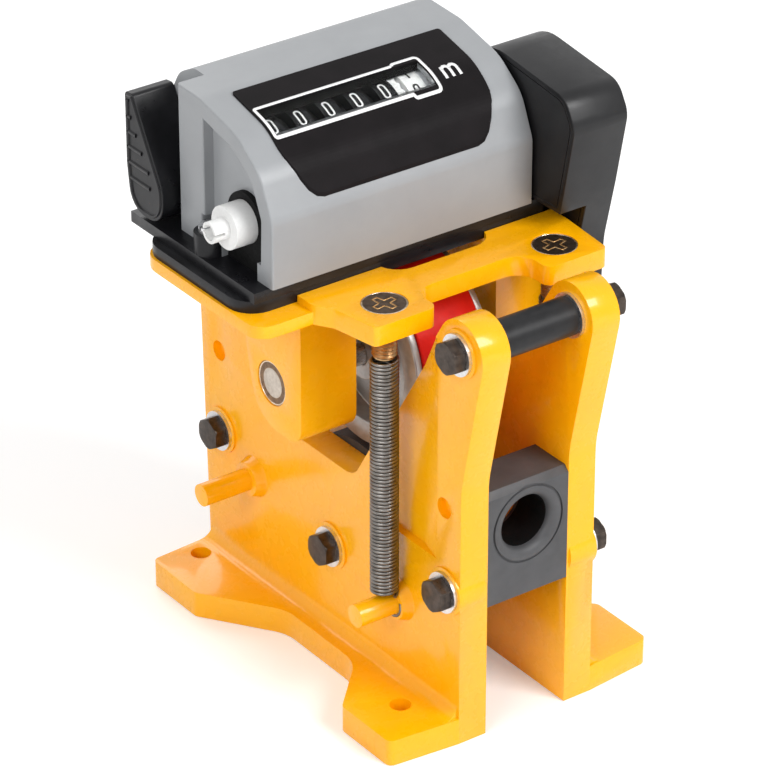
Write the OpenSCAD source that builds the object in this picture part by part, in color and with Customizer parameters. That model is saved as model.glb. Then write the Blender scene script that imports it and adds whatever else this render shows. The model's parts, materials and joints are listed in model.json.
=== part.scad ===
/* [Side castings] */
// Gap between the two side castings, which the guide blocks fill
gap_w = 31; // [30:0.5:32]
// Thickness of a side wall
wall_t = 10.5; // [9.5:0.1:10.7]
// Length of the base along the cable
base_len = 138; // [137:0.5:140]
// Width over the feet
base_w = 102.2; // [100:0.2:108]
// Thickness of the feet
foot_t = 9.1; // [7:0.1:11]
// Length of a foot along the cable, at its outer edge
foot_len = 25.2; // [22:0.2:28]
// How far the outer end of a foot is swept back
foot_sweep = 2.5; // [1:0.1:4]
// Start of the narrow waist between the feet, behind the front edge
waist_y = 46; // [40:1:50]
// End of the narrow waist before the rear edge
rear_waist = 54; // [46:1:58]
// Width of the flange outside the wall at the waist
flange_w = 7; // [5.5:0.5:9]
// Radius of the hollow between flange and wall
flange_fillet_r = 5; // [2:0.5:5.5]
// Hole in each foot
foot_hole_d = 7; // [5:0.5:8]
// Spacing of the foot holes across the cable
foot_pitch_x = 71.4; // [70:0.2:76]
// Distance of the front foot holes behind the front edge
foot_hole_y = 17.7; // [15:0.1:19]
// Distance of the rear foot holes before the rear edge
rear_hole_inset = 8.3; // [7.8:0.1:10]
// Height at which the front edge of the wall starts to lean forward
ear_lean_z = 92; // [88:1:96]
// Radius of the rounded top of the front ear
ear_r = 10.8; // [10:0.1:11.4]
// Height of the notch floor between ear and upright
notch_z = 70.5; // [66:0.5:72]
// Start of the notch before the wheel axle
notch_lead = 13; // [9:1:17]
// Width of the upright behind the notch
upright_w = 34; // [32:1:36]
// Width of the raised spine along the front of the ear
spine_w = 12; // [11.5:0.5:14]
// Depth of the hollow behind the spine
ear_hollow_t = 2.8; // [1.5:0.1:4]
// Diameter of the raised seats under the bolt heads
boss_d = 16; // [15:0.5:18]
// Height of the raised seats under the bolt heads
boss_t = 0.8; // [0.5:0.1:0.9]

/* [Spring pegs] */
// Diameter of a peg
peg_d = 7.6; // [6:0.2:9]
// Length of the front peg outside the wall
peg_len = 17.7; // [16:0.1:20]
// Place of the front peg behind the front edge
peg_y = 30.8; // [29.6:0.1:32]
// Height of the front peg
peg_z = 38; // [36:0.5:40]
// Length of the spare rear peg outside the wall
rear_peg_len = 21; // [16:0.5:23]
// Place of the rear peg before the rear edge
rear_peg_inset = 26.5; // [25:0.5:29]
// Height of the rear peg
rear_peg_z = 44; // [40:0.5:46]

/* [Tie bolts] */
// Diameter of the tie bolts
bolt_d = 6; // [5:0.5:6]
// Width across the flats of a bolt head
head_af = 10; // [9:0.5:11]
// Height of a bolt head
head_t = 4; // [3:0.1:5]
// Diameter of the washers
washer_d = 13.6; // [12.5:0.1:14.5]
// Thickness of the washers
washer_t = 1.2; // [0.8:0.1:1.6]
// Place of the top bolt behind the front edge
top_bolt_y = 0.8; // [0:0.1:1.6]
// Height of the top bolt
top_bolt_z = 139.5; // [137:0.5:140]
// Place of the front guide bolt behind the front edge
front_bolt_y = 7; // [6.5:0.1:8]
// Place of the rear guide bolt before the rear edge
rear_bolt_inset = 8; // [7:0.5:10]
// Height of the two guide bolts
guide_bolt_z = 53; // [52:0.5:55]
// Diameter of the spacer tube on the top bolt
spacer_d = 12.5; // [10:0.5:13.5]
// Diameter of the blind holes in ear and upright
blind_d = 7; // [5:0.5:8]
// Depth of the blind holes
blind_t = 3; // [2:0.5:5]

/* [Cable guides] */
// Depth of a guide block along the cable
guide_len = 19; // [17:0.5:20]
// Height of a guide block
guide_h = 40; // [39:0.5:42]
// Height of the underside of the guide blocks
guide_z = 46.5; // [45:0.5:47.5]
// Bore that the cable runs through
cable_bore_d = 18; // [14:0.5:19]
// Height of the cable bore
cable_z = 71.5; // [70.5:0.5:72.5]
// Radius of the rounded mouth of the bore
mouth_r = 2.75; // [1.5:0.05:3]

/* [Rollers] */
// Radius of the measuring wheel over its tyre, which gives 0.2 m a turn
wheel_r = 31.83; // [29:0.01:32]
// Width of the measuring wheel
wheel_w = 29; // [24:0.5:30]
// Thickness of the tyre
tyre_t = 4.3; // [3:0.1:6]
// Width of the metal rim on each side of the tyre
rim_w = 2.5; // [1.5:0.1:4]
// Height of the wheel axle
axle_z = 105.4; // [105:0.1:106.4]
// Diameter of the wheel axle
axle_d = 8; // [6:0.5:9]
// Place of the idler axle before the wheel axle
idler_lead = 1; // [0:0.5:2]
// Height of the idler axle
idler_z = 39.3; // [38.5:0.1:40]
// Gap between tyre and idler with no cable in
nip_gap = 0.5; // [0.3:0.1:2]

/* [Carriage] */
// Place of the hinge pin before the rear edge
pivot_inset = 7.5; // [7:0.5:9]
// Height of the hinge pin
pivot_z = 118; // [117:0.5:119]
// Diameter of the hinge pin
pivot_d = 8; // [6:0.5:9]
// Radius of the rounded top of the uprights
pivot_r = 11.5; // [10:0.5:12]
// Height of the top of the front ears of the carriage
deck_z = 145.7; // [145.4:0.1:147]
// Thickness of the front ears of the carriage
ear_t = 6.6; // [5:0.1:7.4]
// Step from the front ears down to the counter seat
seat_step = 2.4; // [1.4:0.1:3]
// Half of the width over the front ears
ear_half_w = 44.1; // [42:0.1:45]
// Half of the width of the arch between the front ears
arch_half_w = 20.9; // [19:0.1:22]
// Front edge of the ears, behind the front of the base
ear_front_y = 19.2; // [18:0.1:20]
// Back of the arch between the ears
arch_y = 32; // [30:0.5:34]
// Front edge of the counter seat, before the wheel axle
seat_lead = 19; // [18:0.1:19.5]
// Length of the counter seat along the cable
seat_len = 57; // [55:0.5:59]
// Reach of the deck to the left of the middle
deck_left = 71; // [69:0.5:74]
// Reach of the deck to the right of the middle
deck_right = 44; // [42:0.5:46]
// Radius of the deck corners
deck_corner_r = 9; // [5:0.5:10]
// Half of the width of the slot for the wheel
slot_half_w = 20; // [18:0.5:22]
// Outer face of the bearing blocks, from the middle
block_out = 48; // [46:0.5:48]
// Inner face of the bearing blocks, from the middle
block_in = 27; // [26.6:0.1:30]
// Front face of the bearing blocks, before the wheel axle
block_lead = 16; // [14:0.5:18]
// Length of a bearing block at its top
block_len = 30; // [28:0.5:31]
// Underside of the bearing blocks
block_z = 89.5; // [87:0.5:91]

/* [Springs] */
// Diameter of the spring wire
wire_d = 1.25; // [1:0.05:1.3]
// Outer diameter of the springs
spring_d = 9.3; // [9:0.1:10]
// Curls in one spring
spring_turns = 43; // [30:1:43]
// Place of the springs across the cable, from the middle
spring_x = 32.4; // [31.5:0.1:33]
// Diameter of the countersunk screws that hold the springs
screw_d = 8; // [7:0.5:8]
// Diameter of their heads
screw_head_d = 14.6; // [13:0.2:16]
// Pitch of their thread
thread_pitch = 1.25; // [1:0.05:1.5]
// Turns of thread that show under the ear
thread_turns = 9; // [6:1:10]

/* [Counter base] */
// Thickness of the adapter plate under the counter
adapter_t = 4; // [3:0.1:4.4]
// Thickness of the counter base
base_t = 3.7; // [3:0.1:4.2]
// Reach of the counter base to the left
counter_left = 66.7; // [66:0.1:68]
// Reach of the counter base to the right
counter_right = 46; // [44:0.5:47]
// Length of the counter base along the cable
counter_len = 67.5; // [66.8:0.1:69]

/* [Counter housing] */
// Reach of the housing to the left
housing_left = 61; // [60:0.2:61.4]
// Reach of the housing to the right
housing_right = 37; // [36:0.2:37.4]
// Height of the housing
housing_h = 50; // [49:0.5:54]
// Depth of the housing along the cable
housing_depth = 68; // [67:0.5:68.5]
// Wall of the housing
housing_wall = 2; // [1.4:0.1:2.2]
// Depth of the recess in the left end
end_recess_t = 4; // [3:0.1:5]
// Left edge of the black label
label_left = 50.8; // [50:0.1:51.4]
// Right edge of the black label
label_right = 27; // [24:0.5:30]
// Thickness of the label
label_t = 0.6; // [0.4:0.1:1]
// Left edge of the window
window_left = 49; // [48.5:0.1:49.5]
// Right edge of the window
window_right = 10.7; // [10:0.1:11]
// Front edge of the window, behind the front of the counter
window_inset = 12.7; // [12:0.1:13.5]
// Length of the window along the cable
window_len = 10.7; // [9:0.1:11.5]

/* [Counting wheels] */
// Distance between neighbouring digit wheels
digit_pitch = 10.45; // [10.3:0.05:10.6]
// Radius of a digit wheel
digit_r = 12.4; // [11:0.1:12.6]
// Width of a digit wheel
digit_w = 6.4; // [5.6:0.1:6.6]
// Middle of the white tenths wheel
tenths_x = 6.6; // [6.4:0.1:6.8]
// Turn of the counter shaft for each turn of the tenths wheel
drive_ratio = 2.5; // [2.5:0.5:3]
// Diameter of the counter shaft
shaft_d = 5; // [4:0.5:5]
// Diameter of the shafts of the wheels
spindle_d = 4; // [3:0.5:5]
// Diameter of the white setting knob
knob_d = 14; // [13:0.5:15.5]

/* [Reset lever] */
// Width of the reset lever across the cable
lever_w = 15; // [13:0.2:15]
// Wall of the reset lever
lever_wall = 1.8; // [1.4:0.1:2.4]
// Place of the lever shaft behind the front of the counter
lever_back = 58.5; // [58:0.1:59]

/* [Drive cover] */
// Outer face of the cover, from the middle
cover_out = 59; // [58.6:0.2:62]
// Wall of the cover
cover_wall = 2; // [1.4:0.1:2.2]
// Radius of the pulley on the wheel axle
pulley_r = 9; // [8:0.5:9.5]
// Width of the pulleys
pulley_w = 4.6; // [4:0.1:4.8]
// Thickness of the drive belt
belt_t = 1.4; // [1:0.1:2]

/* [Hidden] */

$fn = 48;
arc_steps = 6;
over = 1;
fit_gap = 0.05;
face_gap = 0.3;

yellow = [1.0, 0.70, 0.0];
black = [0.08, 0.08, 0.09];
dark = [0.20, 0.20, 0.22];
grey = [0.66, 0.67, 0.68];
steel = [0.75, 0.75, 0.77];
spring_steel = [0.45, 0.44, 0.43];
bronze = [0.45, 0.36, 0.25];
red = [0.78, 0.09, 0.03];
white = [0.93, 0.93, 0.93];
glass = [0.8, 0.85, 0.9];

// Places are measured from the front edge of the walls, the middle of the
// gap and the ground. The finished pieces move so that the middle of the
// four foot holes is the origin. The wheel axle lies in the middle of the
// base.
foot_pitch_y = base_len - foot_hole_y - rear_hole_inset;
origin_y = foot_hole_y + foot_pitch_y / 2;
axle_y = base_len / 2;
idler_y = axle_y - idler_lead;
notch_y = axle_y - notch_lead;
upright_y = base_len - upright_w;
pivot_y = base_len - pivot_inset;
rear_bolt_y = base_len - rear_bolt_inset;
rear_peg_y = base_len - rear_peg_inset;
seat_y = axle_y - seat_lead;
deck_rear_y = seat_y + seat_len;
block_y = axle_y - block_lead;
counter_rear_y = seat_y + counter_len;
window_y = seat_y + window_inset;
lever_y = seat_y + lever_back;
digit_count = 5;

wall_in = gap_w / 2;
wall_out = wall_in + wall_t;
boss_out = wall_out + boss_t;
base_half = base_w / 2;
waist_x = wall_out + flange_w;
waist_end_y = base_len - rear_waist;
rear_foot_y = base_len - foot_sweep - foot_len;
rear_guide_y = base_len - guide_len;
bolt_sites = [[top_bolt_y, top_bolt_z], [front_bolt_y, guide_bolt_z],
              [idler_y, idler_z], [rear_bolt_y, guide_bolt_z]];
washer_out = boss_out + washer_t;
nut_t = 5;
bolt_tail = 1.5;
bolt_end = washer_out + nut_t + bolt_tail;
head_chamfer = 0.6;
blind_drop = 4.5;
blind_z = guide_z + guide_h - blind_drop;
front_blind_y = front_bolt_y + 1.5;
rear_blind_y = rear_bolt_y + 1;

idler_r = norm([axle_y - idler_y, axle_z - idler_z]) - wheel_r - nip_gap;
idler_in = wall_in - face_gap;
sleeve_wall = 2;
sleeve_d = bolt_d + 2 * sleeve_wall;
axle_inset = 4;
axle_left = block_out - axle_inset;

seat_z = deck_z - seat_step;
ear_under = deck_z - ear_t;
seat_under = ear_under;
seat_t = seat_z - seat_under;
pad_margin = 20;
pad_left = deck_left - pad_margin;
pad_lead = 8;
pad_y = seat_y - pad_lead;
barrel_step = 2;
barrel_r = pivot_r - barrel_step;
slot_margin = 7;
slot_rear_y = deck_rear_y - slot_margin;
arm_y = slot_rear_y;
bush_wall = 3.5;
bush_inset = 0.5;
bush_d = axle_d + 2 * bush_wall;
bush_len = block_out - block_in - 2 * bush_inset;
bush_in = block_in + bush_inset;

spring_r = (spring_d - wire_d) / 2;
spring_z0 = peg_z + peg_d / 2 + fit_gap;
screw_point = 0.5;
thread_depth = 0.6;
screw_end_z = ear_under - thread_pitch * thread_turns - screw_point;
screw_tip_r = screw_d / 2 - thread_depth;
lead_r = wire_d * 0.8;

adapter_z = seat_z + adapter_t;
base_z = adapter_z + base_t;
housing_lead = 1.5;
housing_y = seat_y - housing_lead;

digit_back = 24.7;
digit_drop = 19.4;
shaft_back = 16;
shaft_rise = 15.5;
pinion_back = 10.3;
pinion_drop = 9.5;
digit_y = seat_y + digit_back;
digit_z = base_z + housing_h - digit_drop;
shaft_y = seat_y + shaft_back;
shaft_z = base_z + shaft_rise;
pinion_y = digit_y + pinion_back;
shaft_gap = norm([digit_y - shaft_y, digit_z - shaft_z]);
drive_gear_r = shaft_gap / (1 + drive_ratio) - fit_gap;
tenths_gear_r = shaft_gap - drive_gear_r - 3 * fit_gap;
digit_gear_r = 9.8;
pinion_r = 3.8;
pinion_z = digit_z - pinion_drop;
gear_w = digit_pitch - digit_w - 3 * face_gap;
lever_rise = 10;
lever_z = base_z + lever_rise;
lever_boss_r = 9;
lever_foot_z = base_z + over;
lever_shaft_d = 6;
lever_inset = 0.2;
lever_out = counter_left - lever_inset;
lever_in = lever_out - lever_w;

cover_low_in = block_out + face_gap;
cover_up_in = housing_right + over;
cover_step_z = base_z + over;
back_plate_t = 1.6;
pulley_x = cover_out - cover_wall - face_gap - pulley_w;

// Each corner point is [x, y, radius] and becomes an arc that touches
// both of its edges.
function unit(v) = v / norm(v);
function corner(a, b, c, r, n) =
    let (u = unit(a - b), w = unit(c - b), half = acos(max(-1, min(1, u * w))) / 2)
    r <= 0 || half > 89 ? [b] :
    let (t = r / tan(half), p = b + u * t, q = b + w * t, m = b + unit(u + w) * (r / sin(half)),
         a0 = atan2(p[1] - m[1], p[0] - m[0]), a1 = atan2(q[1] - m[1], q[0] - m[0]),
         d = a1 - a0, turn = d > 180 ? d - 360 : d < -180 ? d + 360 : d)
    [for (i = [0:n]) m + r * [cos(a0 + turn * i / n), sin(a0 + turn * i / n)]];
function rounded(p, n = arc_steps) =
    let (k = len(p), q = [for (v = p) [v[0], v[1]]])
    [for (i = [0:k - 1]) each corner(q[(i + k - 1) % k], q[i], q[(i + 1) % k], p[i][2], n)];

// An outline moved inwards by d, or outwards where d is negative. Its
// corner points are [x, y, radius].
function shrunk(p, d) =
    let (k = len(p), q = [for (v = p) [v[0], v[1]]])
    rounded([for (i = [0:k - 1])
        let (e = unit(q[i] - q[(i + k - 1) % k]), f = unit(q[(i + 1) % k] - q[i]),
             n0 = [-e[1], e[0]], b = unit(n0 + [-f[1], f[0]]), m = q[i] + b * (d / (b * n0)))
        [m[0], m[1], max(p[i][2] - d, 0)]]);

// Corner points along an arc, and the angle at which a line from p
// touches a circle
function arc(c, r, a0, a1, n) =
    [for (i = [0:n]) [c[0] + r * cos(a0 + (a1 - a0) * i / n), c[1] + r * sin(a0 + (a1 - a0) * i / n), 0]];
function touch(p, c, r, side) =
    atan2(p[1] - c[1], p[0] - c[0]) + side * acos(r / norm(p - c));

// The outline of a belt round two circles
function strap(c0, r0, c1, r1, n = 24) =
    let (d = c1 - c0, a = atan2(d[1], d[0]), b = acos((r0 - r1) / norm(d)))
    concat(
        [for (i = [0:n]) c0 + r0 * [cos(a + b + (360 - 2 * b) * i / n), sin(a + b + (360 - 2 * b) * i / n)]],
        [for (i = [0:n]) c1 + r1 * [cos(a - b + 2 * b * i / n), sin(a - b + 2 * b * i / n)]]);

module placed() {
    translate([0, -origin_y, 0]) children();
}

module mirrored() {
    mirror([1, 0, 0]) children();
}

module both_sides() {
    children();
    mirrored() children();
}

// An outline in the y-z plane, drawn from x0 to x1
module slab(x0, x1) {
    translate([x0, 0, 0]) rotate([90, 0, 90]) linear_extrude(x1 - x0) children();
}

// An outline in the x-y plane, drawn from z0 to z1
module plate(z0, z1) {
    translate([0, 0, z0]) linear_extrude(z1 - z0) children();
}

// A round bar along x
module bar(x0, x1, y, z, d) {
    translate([x0, y, z]) rotate([0, 90, 0]) cylinder(h = x1 - x0, d = d);
}

// A tube along x
module tube(x0, x1, y, z, d, bore) {
    difference() {
        bar(x0, x1, y, z, d);
        bar(x0 - over, x1 + over, y, z, bore);
    }
}

// A hexagon along x, with its outer corners cut back
module hexagon(x0, x1, y, z, af) {
    corner_d = af / cos(30);
    translate([x0, y, z]) rotate([0, 90, 0]) intersection() {
        cylinder(h = x1 - x0, d = corner_d, $fn = 6);
        cylinder(h = x1 - x0, d1 = corner_d + 2 * (x1 - x0) - 2 * head_chamfer,
            d2 = corner_d - 2 * head_chamfer);
    }
}

// Side castings

ear_rear_angle = touch([notch_y, notch_z], [top_bolt_y, top_bolt_z], ear_r, 1);
ear_front_angle = touch([0, ear_lean_z], [top_bolt_y, top_bolt_z], ear_r, -1) + 360;
shoulder_drop = 20;
shoulder_z = pivot_z - shoulder_drop;
shoulder_r = 8;
notch_r = 8;
notch_rear_r = 6;
lean_r = 40;
upright_angle = touch([upright_y, shoulder_z], [pivot_y, pivot_z], pivot_r, -1) + 360;
wall_outline = rounded(concat(
    [[0, 0, 0], [base_len, 0, 0]],
    arc([pivot_y, pivot_z], pivot_r, 0, upright_angle, 12),
    [[upright_y, shoulder_z, shoulder_r], [upright_y, notch_z, notch_rear_r], [notch_y, notch_z, notch_r]],
    arc([top_bolt_y, top_bolt_z], ear_r, ear_rear_angle, ear_front_angle, 14),
    [[0, ear_lean_z, lean_r]]));
foot_root_r = 6;
foot_tip_r = 2.5;
foot_back_r = 3;
waist_r = 14;
foot_outline = rounded([
    [wall_in, 0, 0], [wall_out, 0, foot_root_r], [base_half, foot_sweep, foot_tip_r],
    [base_half, foot_sweep + foot_len, foot_back_r], [waist_x, waist_y, waist_r],
    [waist_x, waist_end_y, waist_r], [base_half, rear_foot_y, foot_back_r],
    [base_half, base_len - foot_sweep, foot_tip_r], [wall_in, base_len, 0]]);
hollow_outline = [
    [wall_out, spine_w], [wall_out - ear_hollow_t, spine_w + wall_t],
    [wall_out - ear_hollow_t, waist_y - ear_hollow_t], [wall_out, waist_y],
    [wall_out + over, waist_y], [wall_out + over, spine_w]];
fillet_outline = concat(
    [[wall_out - over, foot_t - over], [wall_out + flange_fillet_r, foot_t - over]],
    [for (i = [0:arc_steps]) [wall_out + flange_fillet_r * (1 - sin(90 * i / arc_steps)),
                              foot_t + flange_fillet_r * (1 - cos(90 * i / arc_steps))]],
    [[wall_out - over, foot_t + flange_fillet_r]]);

peg_root_t = 3.5;

module peg(y, z, length) {
    bar(wall_out - over, wall_out + length, y, z, peg_d);
    translate([wall_out - over, y, z]) rotate([0, 90, 0])
        cylinder(h = over + peg_root_t, d1 = 2 * peg_d, d2 = 1.5 * peg_d);
}

module side_casting() {
    color(yellow) placed() difference() {
        union() {
            slab(wall_in, wall_out) polygon(wall_outline);
            plate(0, foot_t) polygon(foot_outline);
            translate([0, base_len - over, 0]) rotate([90, 0, 0])
                linear_extrude(base_len - 2 * over) polygon(fillet_outline);
            for (s = bolt_sites)
                bar(wall_in + over, boss_out, s[0], s[1], boss_d);
            peg(peg_y, peg_z, peg_len);
            peg(rear_peg_y, rear_peg_z, rear_peg_len);
        }
        difference() {
            plate(guide_bolt_z + boss_d / 2 + over, top_bolt_z) polygon(hollow_outline);
            bar(wall_in, boss_out + over, top_bolt_y, top_bolt_z, boss_d);
        }
        for (s = bolt_sites)
            bar(0, boss_out + over, s[0], s[1], bolt_d + 2 * fit_gap);
        for (y = [front_blind_y, rear_blind_y])
            bar(wall_out - blind_t, wall_out + over, y, blind_z, blind_d);
        bar(0, wall_out + over, pivot_y, pivot_z, pivot_d + 2 * fit_gap);
        for (i = [0, 1])
            translate([foot_pitch_x / 2, foot_hole_y + i * foot_pitch_y, -over])
                cylinder(h = foot_t + 2 * over, d = foot_hole_d);
    }
}

module left_side_casting() {
    mirrored() side_casting();
}

module right_side_casting() {
    side_casting();
}

// Cable guides

mouth_profile = concat(
    [[0, -over], [cable_bore_d / 2 + mouth_r, -over]],
    [for (i = [0:arc_steps]) [cable_bore_d / 2 + mouth_r * (1 - sin(90 * i / arc_steps)),
                              mouth_r * (1 - cos(90 * i / arc_steps))]],
    [[0, mouth_r]]);

guide_chamfer = 2;
ring_r = cable_bore_d / 2 + mouth_r + 1;
ring_w = 0.8;
ring_t = 0.6;
ring_profile = [[ring_r, -over], [ring_r + ring_w, -over], [ring_r + ring_w, ring_t], [ring_r, ring_t]];
guide_outline = [
    [0, guide_z], [guide_len, guide_z], [guide_len, guide_z + guide_h - guide_chamfer],
    [guide_len - guide_chamfer, guide_z + guide_h], [guide_chamfer, guide_z + guide_h],
    [0, guide_z + guide_h - guide_chamfer]];

module guide_block(y0, bolt_y) {
    placed() difference() {
        translate([0, y0, 0]) slab(-wall_in, wall_in) polygon(guide_outline);
        translate([0, y0 - over, cable_z]) rotate([-90, 0, 0])
            cylinder(h = guide_len + 2 * over, d = cable_bore_d);
        for (end = [[y0, -90], [y0 + guide_len, 90]])
            translate([0, end[0], cable_z]) rotate([end[1], 0, 0]) {
                rotate_extrude() polygon(mouth_profile);
                rotate_extrude() polygon(ring_profile);
            }
        bar(-wall_out, wall_out, bolt_y, guide_bolt_z, bolt_d + 2 * fit_gap);
    }
}

module front_guide_block() {
    color(dark) guide_block(0, front_bolt_y);
}

module rear_guide_block() {
    color(dark) guide_block(rear_guide_y, rear_bolt_y);
}

// Bolts, nuts and washers

module tie_bolts() {
    color(black) placed() for (s = bolt_sites) {
        bar(-washer_out - over, bolt_end, s[0], s[1], bolt_d);
        mirrored() hexagon(washer_out, washer_out + head_t, s[0], s[1], head_af);
    }
}

module tie_nuts() {
    color(black) placed() for (s = bolt_sites) difference() {
        hexagon(washer_out, washer_out + nut_t, s[0], s[1], head_af);
        bar(0, bolt_end + over, s[0], s[1], bolt_d + 2 * fit_gap);
    }
}

module washers() {
    color(steel) placed() both_sides() {
        for (s = bolt_sites)
            tube(boss_out, washer_out, s[0], s[1], washer_d, bolt_d + 2 * fit_gap);
        tube(wall_in - washer_t, wall_in, top_bolt_y, top_bolt_z, washer_d + over,
            bolt_d + 2 * fit_gap);
    }
}

module spacer_tube() {
    color(black) placed() tube(washer_t - wall_in, wall_in - washer_t, top_bolt_y, top_bolt_z,
        spacer_d, bolt_d + 2 * fit_gap);
}

module idler_sleeve() {
    color(steel) placed() tube(-wall_in, wall_in, idler_y, idler_z, sleeve_d, bolt_d + 2 * fit_gap);
}

clip_t = 1.2;
clip_x = wall_out + face_gap;

module hinge_pin() {
    color(steel) placed() bar(-clip_x - 2 * clip_t, clip_x + 2 * clip_t, pivot_y, pivot_z, pivot_d);
}

module pin_clips() {
    color(steel) placed() both_sides()
        tube(clip_x, clip_x + clip_t, pivot_y, pivot_z, 1.7 * pivot_d, pivot_d + 2 * fit_gap);
}

// Rollers

roller_recess_t = 3;
roller_rim_t = 5;
roller_core_t = 4;

module idler_roller() {
    color(dark) placed() difference() {
        bar(-idler_in, idler_in, idler_y, idler_z, 2 * idler_r);
        bar(-wall_in, wall_in, idler_y, idler_z, sleeve_d + 2 * fit_gap);
        both_sides() tube(idler_in - roller_recess_t, wall_in, idler_y, idler_z,
            2 * idler_r - 2 * roller_rim_t, sleeve_d + 2 * roller_core_t);
    }
}

hub_r = wheel_r - tyre_t;
rim_step = 0.8;
rim_r = wheel_r - rim_step;
wheel_half = wheel_w / 2;
tyre_half = wheel_half - rim_w;

hub_recess_t = 7;
hub_rim_t = 4;
hub_core_t = 5;

module wheel_hub() {
    color(steel) placed() difference() {
        bar(-wheel_half, wheel_half, axle_y, axle_z, 2 * rim_r);
        tube(-tyre_half, tyre_half, axle_y, axle_z, 2 * wheel_r, 2 * hub_r);
        bar(-wheel_w, wheel_w, axle_y, axle_z, axle_d + 2 * fit_gap);
        both_sides() tube(wheel_half - hub_recess_t, wheel_w, axle_y, axle_z,
            2 * hub_r - 2 * hub_rim_t, axle_d + 2 * hub_core_t);
    }
}

module wheel_tyre() {
    color(red) placed() tube(fit_gap - tyre_half, tyre_half - fit_gap, axle_y, axle_z, 2 * wheel_r,
        2 * hub_r + 2 * fit_gap);
}

module wheel_axle() {
    color(steel) placed() bar(-axle_left, pulley_x + pulley_w, axle_y, axle_z, axle_d);
}

// Carriage

pad_tip_r = 2;
pad_r = 6;
arch_lip_r = 3;
arch_r = 7;
pad_flare = 2;
left_flare = 3;
slot_lead = 12;
slot_r = 8;
block_front_r = 6.5;
block_toe = 6;
block_toe_r = 14;
block_slope_h = 26;
block_slope_r = 30;
arm_root_t = 5;
barrel_start = 215;
barrel_end = 410;
site_inset = 8;
site_lead = 9;
pad_outline = rounded([
    [-ear_half_w, ear_front_y, pad_tip_r], [-arch_half_w, ear_front_y, arch_lip_r],
    [-arch_half_w, arch_y, arch_r], [arch_half_w, arch_y, arch_r],
    [arch_half_w, ear_front_y, arch_lip_r], [ear_half_w, ear_front_y, pad_tip_r],
    [ear_half_w + pad_flare, pad_y, pad_r], [ear_half_w + pad_flare, seat_y, 0],
    [-pad_left, seat_y, 0], [-pad_left, pad_y, pad_r], [-ear_half_w - left_flare, pad_y - pad_r, pad_r]]);
seat_outline = rounded([
    [-deck_left, pad_y, pad_r], [deck_right, pad_y, 0],
    [deck_right, deck_rear_y, deck_corner_r], [-deck_left, deck_rear_y, deck_corner_r]]);
slot_outline = rounded([
    [-slot_half_w, arch_y + slot_lead, slot_r], [slot_half_w, arch_y + slot_lead, slot_r],
    [slot_half_w, slot_rear_y, arch_lip_r], [-slot_half_w, slot_rear_y, arch_lip_r]]);
block_outline = rounded([
    [block_y, block_z, block_front_r], [block_y + block_len - block_toe, block_z, block_toe_r],
    [block_y + block_len, block_z + block_slope_h, block_slope_r], [block_y + block_len, seat_under + over, 0],
    [block_y, seat_under + over, 0]]);
arm_outline = rounded(concat(
    [[arm_y, seat_under + over, 0], [arm_y, seat_under - arm_root_t, pad_tip_r]],
    arc([pivot_y, pivot_z], barrel_r, barrel_start, barrel_end, 14),
    [[deck_rear_y - over, seat_z - over, 0]]));
arm_half = wall_in - face_gap;
adapter_sites = [for (x = [site_inset - deck_left, deck_right - site_inset])
    each [[x, seat_y + site_lead], [x, deck_rear_y - site_inset]]];

module carriage_casting() {
    color(yellow) placed() difference() {
        union() {
            plate(ear_under, deck_z) polygon(pad_outline);
            difference() {
                plate(seat_under, seat_z) polygon(seat_outline);
                plate(seat_under - over, seat_z + over) polygon(slot_outline);
            }
            both_sides() slab(block_in, block_out) polygon(block_outline);
            slab(-arm_half, arm_half) polygon(arm_outline);
        }
        plate(seat_under - over, deck_z + over) polygon(slot_outline);
        bar(-wall_out, wall_out, pivot_y, pivot_z, pivot_d + 2 * fit_gap);
        both_sides() {
            bar(block_in - over, block_out + over, axle_y, axle_z, bush_d + 2 * fit_gap);
            spring_screw_hole();
        }
        for (s = adapter_sites)
            translate([s[0], s[1], seat_under - over])
                cylinder(h = seat_t + 2 * over, d = small_screw_d + 2 * fit_gap);
        for (s = back_plate_sites)
            bar(block_out - back_screw_len, block_out + over, s[0], s[1], small_screw_d + 2 * fit_gap);
    }
}

// Springs and their screws

screw_head_t = (screw_head_d - screw_d) / 2;

module countersink(d, gap) {
    translate([0, 0, deck_z - screw_head_t])
        cylinder(h = screw_head_t - over / 4, d1 = d + 2 * gap, d2 = screw_head_d + 2 * gap);
    translate([0, 0, deck_z - over / 4]) cylinder(h = over, d = screw_head_d + 2 * gap);
}

module spring_screw_hole() {
    translate([spring_x, peg_y, 0]) {
        translate([0, 0, ear_under - over]) cylinder(h = ear_t + over, d = screw_d + 2 * fit_gap);
        countersink(screw_d, fit_gap);
    }
}

thread_profile = concat(
    [[0, screw_end_z], [screw_tip_r, screw_end_z]],
    [for (i = [0:thread_turns - 1]) each [
        [screw_tip_r, screw_end_z + screw_point + thread_pitch * i],
        [screw_d / 2, screw_end_z + screw_point + thread_pitch * (i + 0.5)]]],
    [[screw_tip_r, ear_under], [screw_d / 2, ear_under + thread_pitch / 2],
     [screw_d / 2, deck_z - screw_head_t], [screw_head_d / 2, deck_z - over / 4],
     [0, deck_z - over / 4]]);

module spring_screws() {
    color(bronze) placed() both_sides() translate([spring_x, peg_y, 0]) difference() {
        rotate_extrude() polygon(thread_profile);
        for (a = [45, 135])
            translate([0, 0, deck_z]) rotate([0, 0, a])
                cube([screw_d, screw_d / 5, screw_head_t * 1.2], center = true);
    }
}

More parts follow.
